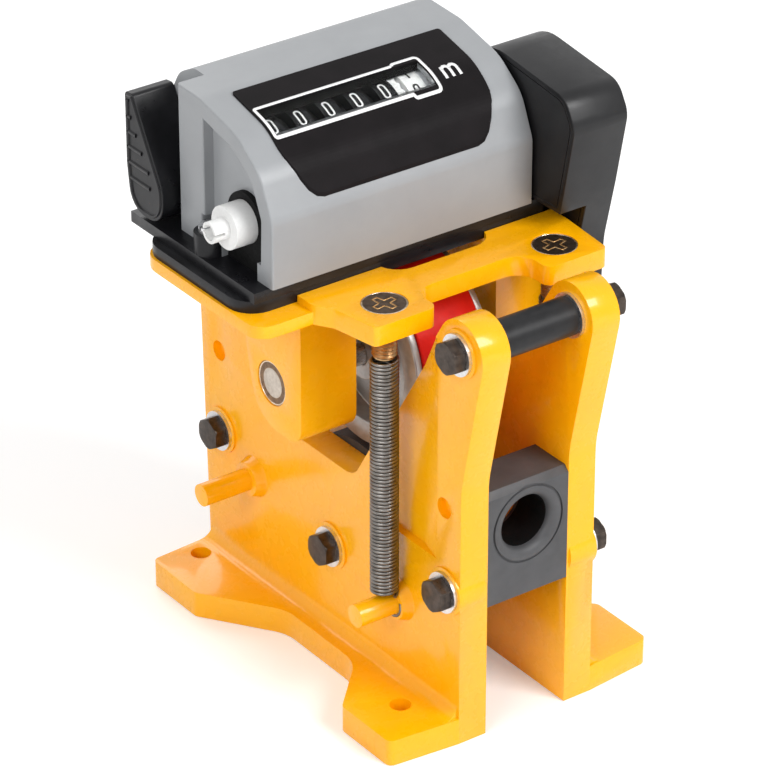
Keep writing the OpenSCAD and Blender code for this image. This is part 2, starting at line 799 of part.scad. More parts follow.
// Path of one spring: down on to the peg, through its curls and up to the
// end of the screw, where the last half curl draws in under the thread.
coil_z0 = spring_z0 + wire_d + lead_r;
coil_z1 = screw_end_z - fit_gap - wire_d - lead_r;
coil_step = 360 / 8;
coil_n = spring_turns * 8;
coil_top_r = screw_tip_r - wire_d / 2;
function coil_r(i) = spring_r + (coil_top_r - spring_r) * max(0, 1 - (coil_n - i) / 4);
function coil_at(i) = [coil_r(i) * cos(coil_step * i), coil_r(i) * sin(coil_step * i),
                       coil_z0 + (coil_z1 - coil_z0) * i / coil_n];
function along(i) = [-sin(coil_step * i), cos(coil_step * i), 0];
lead_in = [for (k = [3:-1:1])
    coil_at(0) - lead_r * sin(30 * k) * along(0) - [0, 0, lead_r * (1 - cos(30 * k))]];
lead_out = [for (k = [1:3])
    coil_at(coil_n) + lead_r * sin(30 * k) * along(coil_n) + [0, 0, lead_r * (1 - cos(30 * k))]];
spring_path = concat(
    [lead_in[0] - [0, 0, wire_d]], lead_in, [for (i = [0:coil_n]) coil_at(i)], lead_out,
    [lead_out[2] + [0, 0, wire_d]]);

// A six-sided tube along a path that winds round the z axis
module swept(path, r) {
    k = len(path);
    outward = [for (p = path) [p[0], p[1], 0]];
    rings = [for (i = [0:k - 1])
        let (t = unit(path[min(i + 1, k - 1)] - path[max(i - 1, 0)]),
             m = i < 4 ? outward[4] : i > k - 5 ? outward[k - 5] : outward[i],
             n = unit(m - t * (m * t)), b = cross(t, n))
        [for (j = [0:5]) path[i] + r * (cos(60 * j) * n + sin(60 * j) * b)]];
    polyhedron(
        points = [for (ring = rings) each ring],
        faces = concat(
            [for (j = [1:4]) [0, j, j + 1]],
            [for (i = [0:k - 2], j = [0:5]) each [
                [6 * i + j, 6 * i + 6 + j, 6 * i + 6 + (j + 1) % 6],
                [6 * i + j, 6 * i + 6 + (j + 1) % 6, 6 * i + (j + 1) % 6]]],
            [for (j = [1:4]) [6 * k - 6, 6 * k - 6 + j + 1, 6 * k - 6 + j]]));
}

module spring(x, turned) {
    color(spring_steel) placed() translate([x, peg_y, 0]) rotate([0, 0, turned]) swept(spring_path, wire_d / 2);
}

module left_spring() {
    spring(-spring_x, 180);
}

module right_spring() {
    spring(spring_x, 0);
}

path_n = len(spring_path);
echo("least gap of a spring to itself", min([for (i = [0:path_n - 7], j = [i + 6:min(i + 22, path_n - 1)])
    norm(spring_path[i] - spring_path[j])]) - wire_d);

module axle_bushes() {
    color(bronze) placed() both_sides() difference() {
        bar(bush_in, bush_in + bush_len, axle_y, axle_z, bush_d);
        bar(0, block_out + over, axle_y, axle_z, axle_d + 2 * fit_gap);
    }
}

// Counter on its adapter plate

small_screw_d = 4;
small_head_d = 7;
small_head_t = 2;
adapter_front_r = 1.5;
adapter_rear_r = 6;
adapter_outline = rounded([
    [-deck_left + over, seat_y + over / 4, deck_corner_r], [deck_right, seat_y + over / 4, adapter_front_r],
    [deck_right, deck_rear_y, adapter_rear_r], [-deck_left + over, deck_rear_y, deck_corner_r]]);

module screw_sites(sites) {
    for (s = sites)
        translate([s[0], s[1], 0]) children();
}

module adapter_plate() {
    color(black) placed() difference() {
        plate(seat_z, adapter_z) polygon(adapter_outline);
        screw_sites(adapter_sites) {
            translate([0, 0, seat_z - over]) cylinder(h = adapter_t + 2 * over, d = small_screw_d + 2 * fit_gap);
            translate([0, 0, adapter_z - small_head_t - fit_gap])
                cylinder(h = small_head_t + over, d = small_head_d + 2 * fit_gap);
        }
    }
}

module adapter_screws() {
    color(steel) placed() screw_sites(adapter_sites) {
        translate([0, 0, seat_under]) cylinder(h = seat_t + adapter_t - small_head_t, d = small_screw_d);
        translate([0, 0, adapter_z - small_head_t - fit_gap]) cylinder(h = small_head_t, d = small_head_d);
    }
}

lug_r = 5;
lug_x = lug_r - counter_left;
lug_back = 31;
lug_y = seat_y + lug_back;
lug_h = 7;
base_outline = [[-counter_left, seat_y], [counter_right, seat_y],
                [counter_right, counter_rear_y], [-counter_left, counter_rear_y]];

module counter_base() {
    color(black) placed() difference() {
        union() {
            plate(adapter_z, base_z) polygon(base_outline);
            translate([lug_x, lug_y, adapter_z]) cylinder(h = base_t + lug_h, r = lug_r);
        }
        translate([lug_x, lug_y, adapter_z]) cylinder(h = base_t + lug_h + over, d = small_screw_d + 2 * fit_gap);
    }
}

module counter_screws() {
    color(steel) placed() translate([lug_x, lug_y, 0]) difference() {
        union() {
            translate([0, 0, adapter_z]) cylinder(h = base_t + lug_h, d = small_screw_d);
            translate([0, 0, base_z + lug_h]) cylinder(h = small_head_t, d = small_head_d);
        }
        translate([0, 0, base_z + lug_h + small_head_t])
            cube([small_head_d + over, over, small_head_t], center = true);
    }
}

// Housing

crown_z = base_z + housing_h;
profile_share = [[0, 0], [1, 0], [1, 0.75], [0.934, 0.91], [0.81, 1], [0.55, 0.985],
                 [0.257, 0.89], [0.088, 0.72], [0, 0.45]];
profile_radius_share = [0, 0, 0.12, 0.2, 0.16, 0.4, 0.4, 0.28, 0.16];
inner_left = housing_left - end_recess_t - housing_wall;
inner_right = housing_right - housing_wall;
column_back = 35;
column_y = seat_y + column_back;
lever_cut_x = lever_in - face_gap;
lever_room = 1.3;
lever_cut_y = lever_y - lever_boss_r - lever_room;
knob_room = 2.5;
knob_cut_r = knob_d / 2 + knob_room;
end_rim_t = 6;
label_back = 34;
label_lead = 1.2;
label_r = 10;
window_cut_t = 16;

housing_corners = [for (i = [0:len(profile_share) - 1])
    [housing_y + housing_depth * profile_share[i][0], base_z + housing_h * profile_share[i][1],
     housing_h * profile_radius_share[i]]];

// The corner of the housing that is left out for the lever, larger by d
module lever_space(d) {
    slab(-deck_left, d - lever_cut_x) polygon([
        [lever_cut_y - d, base_z - 2 * over], [counter_rear_y + over, base_z - 2 * over],
        [counter_rear_y + over, crown_z + 2 * over], [lever_cut_y - d, crown_z + 2 * over]]);
}

module window_box(gap) {
    translate([-window_left + gap, window_y + gap, crown_z - window_cut_t])
        cube([window_left + window_right - 2 * gap, window_len - 2 * gap, window_cut_t + over]);
}

module housing_hollow() {
    difference() {
        union() {
            slab(-inner_left, inner_right) polygon(shrunk(housing_corners, housing_wall));
            translate([-inner_left, housing_y + housing_wall, base_z - over])
                cube([inner_left + inner_right, housing_depth - 2 * housing_wall, 4 * over]);
        }
        lever_space(housing_wall);
    }
}

module end_recess() {
    intersection() {
        slab(-housing_left - over, end_recess_t - housing_left) polygon(shrunk(housing_corners, end_rim_t));
        translate([-deck_left, 0, 0]) cube([deck_left, column_y, crown_z]);
    }
    bar(-housing_left - over, end_recess_t - housing_left, shaft_y, shaft_z, 2 * knob_cut_r);
    translate([-housing_left - over, shaft_y - knob_cut_r, base_z - over])
        cube([end_recess_t + over, 2 * knob_cut_r, shaft_z - base_z + over]);
}

module counter_housing() {
    color(grey) placed() difference() {
        slab(-housing_left, housing_right) polygon(shrunk(housing_corners, 0));
        housing_hollow();
        end_recess();
        translate([-housing_left - over, lug_y - lug_r - face_gap, base_z - over])
            cube([housing_left + over + lug_x + lug_r + face_gap, 2 * lug_r + 2 * face_gap,
                  lug_h + small_head_t + 2 * over]);
        lever_space(0);
        bar(-deck_left, deck_left, shaft_y, shaft_z, shaft_d + 2 * face_gap);
        bar(-deck_left, 0, lever_y, lever_z, lever_shaft_d + 2 * fit_gap);
        window_box(0);
    }
}

label_outline = rounded([
    [-label_left, housing_y + label_lead, label_r], [label_right, housing_y + label_lead, label_r],
    [label_right, seat_y + label_back, over], [-label_left, seat_y + label_back, over]]);

module label_panel() {
    color(black) placed() intersection() {
        difference() {
            slab(-label_left, label_right) polygon(shrunk(housing_corners, -label_t));
            slab(-deck_left, deck_left) polygon(shrunk(housing_corners, 0));
            window_box(0);
        }
        plate(base_z + housing_h / 3, crown_z + 4 * over) polygon(label_outline);
    }
}

module window_lens() {
    color(glass, 0.35) placed() intersection() {
        difference() {
            slab(-deck_left, deck_left) polygon(shrunk(housing_corners, 0));
            slab(-deck_left, deck_left) polygon(shrunk(housing_corners, housing_wall * 0.6));
        }
        window_box(fit_gap);
    }
}

// Frame, shafts and wheels inside the counter

function digit_x(i) = tenths_x - digit_pitch * i;
frame_t = 2;
frame_left = -digit_x(digit_count) + digit_w / 2 + face_gap;
frame_room = 8;
frame_right = tenths_x + digit_w / 2 + gear_w + frame_room;
frame_foot = 2;
frame_bottom = base_z + frame_foot;
frame_rim = 5;
frame_top_rim = 6;
frame_r = 4;
frame_y = shaft_y - frame_room;
frame_outline = rounded([
    [frame_y, frame_bottom, 0], [pinion_y + frame_rim, frame_bottom, 0],
    [pinion_y + frame_rim, pinion_z + frame_rim, frame_r],
    [digit_y + frame_rim, digit_z + frame_top_rim, frame_r],
    [digit_y - frame_rim, digit_z + frame_top_rim, frame_r],
    [frame_y, shaft_z + frame_top_rim, frame_r]]);
tie_w = 4;
tie_h = 3;

module counter_frame() {
    color(dark) placed() difference() {
        union() {
            slab(-frame_left - frame_t, -frame_left) polygon(frame_outline);
            slab(frame_right, frame_right + frame_t) polygon(frame_outline);
            for (y = [frame_y, pinion_y + frame_rim - tie_w])
                translate([-frame_left - frame_t, y, base_z])
                    cube([frame_left + frame_right + 2 * frame_t, tie_w, tie_h]);
        }
        bar(-deck_left, deck_left, shaft_y, shaft_z, shaft_d + 2 * fit_gap);
        bar(-deck_left, deck_left, digit_y, digit_z, spindle_d + 2 * fit_gap);
        bar(-deck_left, deck_left, pinion_y, pinion_z, spindle_d / 2 + 2 * fit_gap);
    }
}

module digit_shaft() {
    color(steel) placed() bar(-frame_left - frame_t, frame_right + frame_t, digit_y, digit_z, spindle_d);
}

module pinion_shaft() {
    color(steel) placed()
        bar(-frame_left - frame_t, frame_right + frame_t, pinion_y, pinion_z, spindle_d / 2);
}

module counting_wheel(i, r, gear) {
    x = digit_x(i);
    placed() difference() {
        union() {
            bar(x - digit_w / 2, x + digit_w / 2, digit_y, digit_z, 2 * r);
            bar(x, x + digit_w / 2 + gear_w, digit_y, digit_z, 2 * gear);
        }
        bar(x - digit_pitch, x + digit_pitch, digit_y, digit_z, spindle_d + 2 * fit_gap);
    }
}

module transfer_pinion(i) {
    x = digit_x(i) + digit_w / 2 + face_gap;
    color(white) placed() tube(x, x + gear_w, pinion_y, pinion_z, 2 * pinion_r, spindle_d / 2 + 2 * fit_gap);
}

module tenths_wheel() {
    color(white) counting_wheel(0, digit_r, tenths_gear_r);
}

module drive_gear() {
    x = tenths_x + digit_w / 2;
    color(white) placed()
        tube(x + face_gap, x + gear_w, shaft_y, shaft_z, 2 * drive_gear_r, shaft_d + 2 * fit_gap);
}

module counter_shaft() {
    color(steel) placed() bar(-housing_left, pulley_x + pulley_w, shaft_y, shaft_z, shaft_d);
}

knob_in = housing_left - end_recess_t + face_gap;
knob_w = 9;
tip_len = 5.6;
tip_wall = 1;
tip_slot_t = 4;

module setting_knob() {
    color(white) placed() difference() {
        union() {
            bar(-knob_in - knob_w, -knob_in, shaft_y, shaft_z, knob_d);
            bar(-knob_in - knob_w - tip_len, -knob_in - knob_w + over, shaft_y, shaft_z, knob_d / 2);
        }
        bar(-housing_left - fit_gap, 0, shaft_y, shaft_z, shaft_d + 2 * fit_gap);
        bar(-knob_in - 2 * knob_w, -knob_in - knob_w, shaft_y, shaft_z, knob_d / 2 - 2 * tip_wall);
        translate([-knob_in - knob_w - tip_slot_t, shaft_y, shaft_z])
            cube([tip_slot_t, knob_d, over], center = true);
    }
}

module digit_wheel(i) {
    color(black) counting_wheel(i, digit_r, digit_gear_r);
}

// Reset lever

lever_h = 31;
lever_rear = 11;
lever_top_y = lever_y + 6.4;
lever_foot_r = 8;
lever_rear_r = 20;
lever_tip_r = 1.6;
lever_front_r = 10;
lever_front_rise = 4;
lever_rear_rise = 6;
web_hole_d = 1.6;
web_hole_lead = 3;
web_hole_rise = 17;
lever_corners = [
    [lever_y - lever_boss_r, lever_foot_z, lever_foot_r], [lever_y + lever_boss_r, lever_foot_z, lever_foot_r],
    [lever_y + lever_rear, lever_z + lever_rear_rise, lever_rear_r],
    [lever_y + lever_rear, lever_z + lever_h - over / 2, lever_tip_r],
    [lever_top_y, lever_z + lever_h, lever_tip_r],
    [lever_y - lever_boss_r, lever_z + lever_front_rise, lever_front_r]];

module reset_lever() {
    color(black) placed() difference() {
        slab(-lever_out, -lever_in) polygon(shrunk(lever_corners, 0));
        bar(lever_wall - lever_out, 0, lever_y, lever_z, lever_shaft_d + 2 * fit_gap);
        bar(-lever_out - over, 0, lever_y - web_hole_lead, lever_z + web_hole_rise, web_hole_d);
    }
}

module reset_shaft() {
    color(steel) placed() bar(lever_wall + fit_gap - lever_out, frame_right, lever_y, lever_z, lever_shaft_d);
}

// Belt drive and its cover

flange_t = 0.6;
counter_pulley_r = 2 * pulley_r;
cover_front_room = 19;
cover_rear_room = 18;
cover_drop = 4;
cover_low_drop = 2.5;
cover_y = shaft_y - counter_pulley_r - cover_front_room;
cover_z = block_z - cover_low_drop;
cover_depth = 2 * counter_pulley_r + cover_front_room + cover_rear_room;
cover_h = crown_z - cover_drop - cover_z;
cover_share = [[0.17, 0], [0.9, 0], [1, 0.34], [1, 0.72], [0.6, 1], [0.07, 0.96],
               [0, 0.88], [0.07, 0.65], [0.14, 0.45]];
cover_radius_share = [0.06, 0.12, 0.15, 0.15, 0.15, 0.07, 0.07, 0.3, 0.3];
back_screw_len = 8;
back_inset = 5;
back_low_inset = 4;
back_low_rise = 7.5;
back_plate_sites = [[block_y + back_low_inset, block_z + back_low_rise],
                    [block_y + back_inset, seat_under - back_inset],
                    [block_y + block_len - back_inset, seat_under - back_inset]];
cover_site_share = [[0.2877, 0.0818], [0.9041, 0.3], [0.1507, 0.8273]];
cover_sites = [for (s = cover_site_share) [cover_y + cover_depth * s[0], cover_z + cover_h * s[1]]];
post_d = 7;
cover_screw_d = 3;

cover_corners = [for (i = [0:len(cover_share) - 1])
    [cover_y + cover_depth * cover_share[i][0], cover_z + cover_h * cover_share[i][1],
     cover_h * cover_radius_share[i]]];

module cover_volume(d, extra) {
    slab(cover_low_in - extra, cover_out - d) polygon(shrunk(cover_corners, d));
    intersection() {
        slab(cover_up_in - extra, cover_low_in + over) polygon(shrunk(cover_corners, d));
        translate([0, 0, cover_step_z + d]) cube([deck_left, base_len, cover_h]);
    }
}

module belt_cover() {
    color(dark) placed() difference() {
        cover_volume(0, 0);
        cover_volume(cover_wall, over);
        for (s = cover_sites)
            bar(cover_low_in, cover_out + over, s[0], s[1], cover_screw_d + 2 * fit_gap);
    }
}

module belt_back_plate() {
    rim = cover_wall + fit_gap;
    shelf_z = cover_step_z + rim;
    color(dark) placed() difference() {
        union() {
            difference() {
                slab(cover_low_in, cover_low_in + back_plate_t) polygon(shrunk(cover_corners, rim));
                translate([0, 0, shelf_z + back_plate_t]) cube([deck_left, base_len, cover_h]);
            }
            intersection() {
                union() {
                    slab(cover_up_in, cover_up_in + back_plate_t) polygon(shrunk(cover_corners, rim));
                    slab(cover_up_in, cover_low_in + over) difference() {
                        polygon(shrunk(cover_corners, rim));
                        translate([0, shelf_z + back_plate_t]) square([base_len, cover_h]);
                    }
                }
                translate([0, 0, shelf_z]) cube([deck_left, base_len, cover_h]);
            }
            for (s = cover_sites)
                bar(s[1] > shelf_z ? cover_up_in : cover_low_in, cover_out - cover_wall, s[0], s[1], post_d);
        }
        for (s = cover_sites)
            bar(cover_out - 4 * cover_wall, cover_out, s[0], s[1], cover_screw_d + 2 * fit_gap);
        for (s = back_plate_sites)
            bar(block_out, cover_out, s[0], s[1], small_screw_d + 2 * fit_gap);
        bar(block_out, cover_out, axle_y, axle_z, axle_d + 2 * over);
        bar(housing_right, cover_out, shaft_y, shaft_z, shaft_d + 2 * over);
    }
}

module back_plate_screws() {
    head_x = cover_low_in + back_plate_t;
    color(steel) placed() for (s = back_plate_sites) {
        bar(block_out - back_screw_len, head_x + over, s[0], s[1], small_screw_d);
        bar(head_x, head_x + small_head_t, s[0], s[1], small_head_d);
    }
}

module cover_screws() {
    color(black) placed() for (s = cover_sites) {
        bar(cover_out - 4 * cover_wall, cover_out + over, s[0], s[1], cover_screw_d);
        bar(cover_out, cover_out + small_head_t, s[0], s[1], 2 * cover_screw_d);
    }
}

module pulley(y, z, r, bore) {
    difference() {
        union() {
            bar(pulley_x, pulley_x + pulley_w, y, z, 2 * r);
            for (x = [pulley_x, pulley_x + pulley_w - flange_t])
                bar(x, x + flange_t, y, z, 2 * (r + belt_t));
        }
        bar(pulley_x - over, pulley_x + pulley_w + over, y, z, bore + 2 * fit_gap);
    }
}

module axle_pulley() {
    color(steel) placed() pulley(axle_y, axle_z, pulley_r, axle_d);
}

module counter_pulley() {
    color(steel) placed() pulley(shaft_y, shaft_z, counter_pulley_r, shaft_d);
}

module drive_belt() {
    wheel_at = [axle_y, axle_z];
    shaft_at = [shaft_y, shaft_z];
    gap = face_gap / 2;
    x0 = pulley_x + flange_t + gap;
    color(black) placed() slab(x0, pulley_x + pulley_w - flange_t - gap) difference() {
        polygon(strap(wheel_at, pulley_r + gap + belt_t, shaft_at, counter_pulley_r + gap + belt_t));
        polygon(strap(wheel_at, pulley_r + gap, shaft_at, counter_pulley_r + gap));
    }
}

left_side_casting();
right_side_casting();
front_guide_block();
rear_guide_block();
tie_bolts();
tie_nuts();
washers();
spacer_tube();
idler_sleeve();
hinge_pin();
pin_clips();
left_spring();
right_spring();
idler_roller();
carriage_casting();
spring_screws();
axle_bushes();
adapter_plate();
adapter_screws();
counter_base();
counter_screws();
counter_frame();
counter_housing();
label_panel();
window_lens();
digit_shaft();
pinion_shaft();
belt_back_plate();
back_plate_screws();
belt_cover();
cover_screws();
drive_belt();
wheel_axle();
wheel_hub();
wheel_tyre();
axle_pulley();
counter_shaft();
setting_knob();
counter_pulley();
drive_gear();
tenths_wheel();
digit_wheel(1);  // digit_wheel_1
digit_wheel(2);  // digit_wheel_2
digit_wheel(3);  // digit_wheel_3
digit_wheel(4);  // digit_wheel_4
digit_wheel(5);  // digit_wheel_5
transfer_pinion(1);  // transfer_pinion_1
transfer_pinion(2);  // transfer_pinion_2
transfer_pinion(3);  // transfer_pinion_3
transfer_pinion(4);  // transfer_pinion_4
transfer_pinion(5);  // transfer_pinion_5
reset_lever();
reset_shaft();
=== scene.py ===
import json
import math

import bmesh
import bpy
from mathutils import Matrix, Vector
from mathutils.bvhtree import BVHTree

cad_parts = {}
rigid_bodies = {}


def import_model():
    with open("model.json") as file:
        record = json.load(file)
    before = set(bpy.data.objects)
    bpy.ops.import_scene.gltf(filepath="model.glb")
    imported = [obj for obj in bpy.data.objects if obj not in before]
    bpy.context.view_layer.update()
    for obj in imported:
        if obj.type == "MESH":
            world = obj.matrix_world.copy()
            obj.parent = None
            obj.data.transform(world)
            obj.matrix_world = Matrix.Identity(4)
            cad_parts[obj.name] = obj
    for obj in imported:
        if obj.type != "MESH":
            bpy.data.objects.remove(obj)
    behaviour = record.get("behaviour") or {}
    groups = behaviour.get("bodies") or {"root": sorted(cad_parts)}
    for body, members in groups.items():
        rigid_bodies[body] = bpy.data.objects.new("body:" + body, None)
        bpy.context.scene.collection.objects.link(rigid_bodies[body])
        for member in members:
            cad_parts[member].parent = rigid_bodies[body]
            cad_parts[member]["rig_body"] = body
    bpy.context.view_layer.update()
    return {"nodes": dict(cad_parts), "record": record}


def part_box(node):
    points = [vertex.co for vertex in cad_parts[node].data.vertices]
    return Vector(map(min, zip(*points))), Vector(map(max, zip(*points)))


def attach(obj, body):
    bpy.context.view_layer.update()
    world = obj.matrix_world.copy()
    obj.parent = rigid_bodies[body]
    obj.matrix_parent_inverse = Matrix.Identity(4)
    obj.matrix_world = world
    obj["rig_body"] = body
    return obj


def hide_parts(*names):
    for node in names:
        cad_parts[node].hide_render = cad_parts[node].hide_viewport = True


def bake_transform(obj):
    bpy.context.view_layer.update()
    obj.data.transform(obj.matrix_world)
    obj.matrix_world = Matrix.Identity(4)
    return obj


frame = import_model()
nodes = frame["nodes"]
MM = 0.001

RAMP_ENDS = (0.3, 0.7)
WELD = 0.01 * MM  # points closer than this are one
FLAT = math.radians(0.6)  # faces that meet at less are one
SHARP = math.radians(28)  # edges that turn more are rounded


def mm(*values):
    return Vector(values) * MM


def middle(node):
    low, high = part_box(node)
    return (low + high) / 2


BODY_OF = {node: body for body, held in frame["record"]["behaviour"]["bodies"].items() for node in held}


# Materials

def node_tree(name):
    made = bpy.data.materials.new(name)
    made.use_nodes = True
    return made, made.node_tree, made.node_tree.nodes["Principled BSDF"]


def noise(tree, scale, detail=3.0, rough=0.5, stretch=(1, 1, 1)):
    """Noise in the object's own coordinates; scale is in cells per metre."""
    place = tree.nodes.new("ShaderNodeTexCoord")
    sized = tree.nodes.new("ShaderNodeMapping")
    sized.inputs["Scale"].default_value = stretch
    made = tree.nodes.new("ShaderNodeTexNoise")
    made.inputs["Scale"].default_value = scale
    made.inputs["Detail"].default_value = detail
    made.inputs["Roughness"].default_value = rough
    tree.links.new(place.outputs["Object"], sized.inputs["Vector"])
    tree.links.new(sized.outputs["Vector"], made.inputs["Vector"])
    return made.outputs["Fac"]


def ramp(tree, factor, low, high):
    """A colour or grey ramp between two values."""
    made = tree.nodes.new("ShaderNodeValToRGB")
    for element, place, value in zip(made.color_ramp.elements, RAMP_ENDS, (low, high)):
        element.position = place
        element.color = (*value, 1) if isinstance(value, tuple) else (value, value, value, 1)
    tree.links.new(factor, made.inputs["Fac"])
    return made.outputs["Color"]


def bump(tree, height, strength, distance, normal=None):
    made = tree.nodes.new("ShaderNodeBump")
    made.inputs["Strength"].default_value = strength
    made.inputs["Distance"].default_value = distance
    tree.links.new(height, made.inputs["Height"])
    if normal:
        tree.links.new(normal, made.inputs["Normal"])
    return made.outputs["Normal"]


def surface(name, colour, second, rough, metallic=0.0, cells=300, grain=900, grain_depth=0.02,
            stretch=(1, 1, 1), shine=0.5):
    """A surface whose colour and gloss drift a little, with a fine grain in its relief."""
    made, tree, shader = node_tree(name)
    drift = noise(tree, cells, 4, 0.6, stretch)
    tree.links.new(ramp(tree, drift, colour, second), shader.inputs["Base Color"])
    gloss = noise(tree, cells * 2.3, 5, 0.65, stretch)
    tree.links.new(ramp(tree, gloss, rough[0], rough[1]), shader.inputs["Roughness"])
    relief = noise(tree, grain, 3, 0.5, stretch)
    tree.links.new(bump(tree, relief, 0.35, grain_depth * MM), shader.inputs["Normal"])
    shader.inputs["Metallic"].default_value = metallic
    shader.inputs["Specular IOR Level"].default_value = shine
    return made


def powder_coat():
    """Glossy amber powder coat: orange peel over a faintly grainy casting."""
    made, tree, shader = node_tree("powder_coat")
    drift = noise(tree, 40, 4, 0.6)
    tree.links.new(ramp(tree, drift, (1.0, 0.43, 0.0), (1.0, 0.47, 0.001)), shader.inputs["Base Color"])
    gloss = noise(tree, 160, 4, 0.6)
    tree.links.new(ramp(tree, gloss, 0.22, 0.32), shader.inputs["Roughness"])
    cast = bump(tree, noise(tree, 240, 3, 0.5), 0.35, 0.14 * MM)
    tree.links.new(bump(tree, noise(tree, 900, 2, 0.5), 0.25, 0.03 * MM, cast), shader.inputs["Normal"])
    shader.inputs["Specular IOR Level"].default_value = 0.3
    shader.inputs["Coat Weight"].default_value = 0.3
    shader.inputs["Coat Roughness"].default_value = 0.06
    return made


def clear_window():
    made, tree, shader = node_tree("clear_window")
    shader.inputs["Base Color"].default_value = (0.97, 0.98, 0.98, 1)
    shader.inputs["Transmission Weight"].default_value = 1.0
    shader.inputs["IOR"].default_value = 1.1
    haze = noise(tree, 400, 3, 0.6)
    tree.links.new(ramp(tree, haze, 0.01, 0.03), shader.inputs["Roughness"])
    return made


def ink(name, colour):
    return surface(name, colour, tuple(0.94 * c for c in colour), (0.35, 0.5), cells=900, grain=2500,
                   grain_depth=0.004, shine=0.3)


MATERIALS = {
    "cast_yellow": powder_coat(),
    "guide_plastic": surface("guide_plastic", (0.058, 0.058, 0.061), (0.078, 0.078, 0.082), (0.4, 0.55),
                             cells=120, grain=1600, grain_depth=0.03, shine=0.3),
    "bolt_black": surface("bolt_black", (0.028, 0.021, 0.017), (0.085, 0.066, 0.054), (0.26, 0.42),
                          metallic=0.8, cells=420, grain=2200, grain_depth=0.02),
    "zinc": surface("zinc", (0.62, 0.62, 0.63), (0.74, 0.74, 0.75), (0.22, 0.40), metallic=1.0,
                    cells=600, grain=2400, grain_depth=0.008),
    "steel": surface("steel", (0.50, 0.50, 0.51), (0.64, 0.64, 0.65), (0.20, 0.36), metallic=1.0,
                     cells=300, grain=3000, grain_depth=0.006, stretch=(0.15, 1, 1)),
    "spring_steel": surface("spring_steel", (0.13, 0.12, 0.11), (0.25, 0.235, 0.22), (0.24, 0.4),
                            metallic=1.0, cells=260, grain=3000, grain_depth=0.006),
    "roller_rubber": surface("roller_rubber", (0.045, 0.043, 0.042), (0.075, 0.07, 0.066), (0.45, 0.62),
                             cells=200, grain=1300, grain_depth=0.03, shine=0.3),
    "bronze": surface("bronze", (0.24, 0.14, 0.06), (0.46, 0.29, 0.14), (0.22, 0.42), metallic=0.9,
                      cells=350, grain=2400, grain_depth=0.01),
    "counter_black": surface("counter_black", (0.005, 0.005, 0.006), (0.010, 0.010, 0.012), (0.26, 0.38),
                             cells=120, grain=2200, grain_depth=0.02, shine=0.28),
    "housing_grey": surface("housing_grey", (0.29, 0.30, 0.312), (0.315, 0.325, 0.337), (0.3, 0.4),
                            cells=60, grain=2600, grain_depth=0.014, shine=0.4),
    "label_black": surface("label_black", (0.009, 0.008, 0.0085), (0.013, 0.011, 0.012), (0.4, 0.5),
                           cells=90, grain=3000, grain_depth=0.006, shine=0.05),
    "window_glass": clear_window(),
    "cover_plastic": surface("cover_plastic", (0.007, 0.007, 0.008), (0.012, 0.012, 0.013), (0.3, 0.42),
                             cells=100, grain=2200, grain_depth=0.02, shine=0.3),
    "belt_rubber": surface("belt_rubber", (0.012, 0.012, 0.012), (0.022, 0.022, 0.022), (0.6, 0.8)),
    "hub_metal": surface("hub_metal", (0.30, 0.295, 0.285), (0.42, 0.41, 0.40), (0.3, 0.48), metallic=0.75,
                         cells=300, grain=1800, grain_depth=0.03),
    "tyre_red": surface("tyre_red", (0.56, 0.006, 0.002), (0.68, 0.011, 0.003), (0.34, 0.48),
                        cells=200, grain=1500, grain_depth=0.03, shine=0.15),
    "white_plastic": ink("white_plastic", (0.80, 0.80, 0.79)),
    "digit_black": surface("digit_black", (0.006, 0.006, 0.007), (0.012, 0.012, 0.013), (0.35, 0.5),
                           cells=400, grain=2400, grain_depth=0.01, shine=0.2),
}
PRINT_WHITE = ink("print_white", (0.86, 0.86, 0.86))
PRINT_BLACK = ink("print_black", (0.012, 0.012, 0.012))
GEAR_GREY = ink("gear_grey", (0.52, 0.53, 0.55))
# Painted shade: near black for bores and holes, and for walls that lie in shade
SHADE_BLACK = surface("painted_shade_black", (0.004, 0.004, 0.004), (0.007, 0.007, 0.007), (0.5, 0.7), shine=0.1)
HEAD_DARK = surface("head_dark", (0.07, 0.048, 0.033), (0.17, 0.12, 0.085), (0.25, 0.45), metallic=0.85,
                    cells=500, grain=2400)
# Painted highlight: bright metal for the rims of screw heads and bushes, where light catches them
HIGHLIGHT_METAL = surface("painted_highlight_metal", (0.62, 0.52, 0.40), (0.78, 0.68, 0.55), (0.2, 0.34), metallic=1.0,
                      cells=500)
SPACER_BLACK = surface("spacer_black", (0.011, 0.011, 0.012), (0.018, 0.018, 0.019), (0.32, 0.42),
                       grain=2400, grain_depth=0.01, shine=0.22)
BUSH_BROWN = surface("bush_brown", (0.10, 0.055, 0.03), (0.26, 0.16, 0.09), (0.3, 0.5), metallic=0.85,
                     cells=700, grain=2600)
AXLE_END = surface("axle_end", (0.42, 0.36, 0.30), (0.60, 0.54, 0.47), (0.3, 0.45), metallic=0.8,
                   cells=700, grain=2600)
# Painted highlight: bright gold along the edge round the cross of the spring screws
CROSS_HIGHLIGHT = surface("painted_cross_highlight", (0.75, 0.42, 0.15), (0.9, 0.58, 0.28), (0.22, 0.36), metallic=1.0,
                      cells=500)


def paint(piece, slot, material=None):
    """Gives a piece the material of a slot of the record, or one of its own."""
    piece.data.materials.clear()
    piece.data.materials.append(material or MATERIALS[slot])
    return piece


# Helpers that build pieces

def piece_of(name, mesh, body, slot, material=None):
    made = bpy.data.objects.new(name, mesh)
    bpy.context.scene.collection.objects.link(made)
    paint(made, slot, material)
    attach(made, body)
    return made


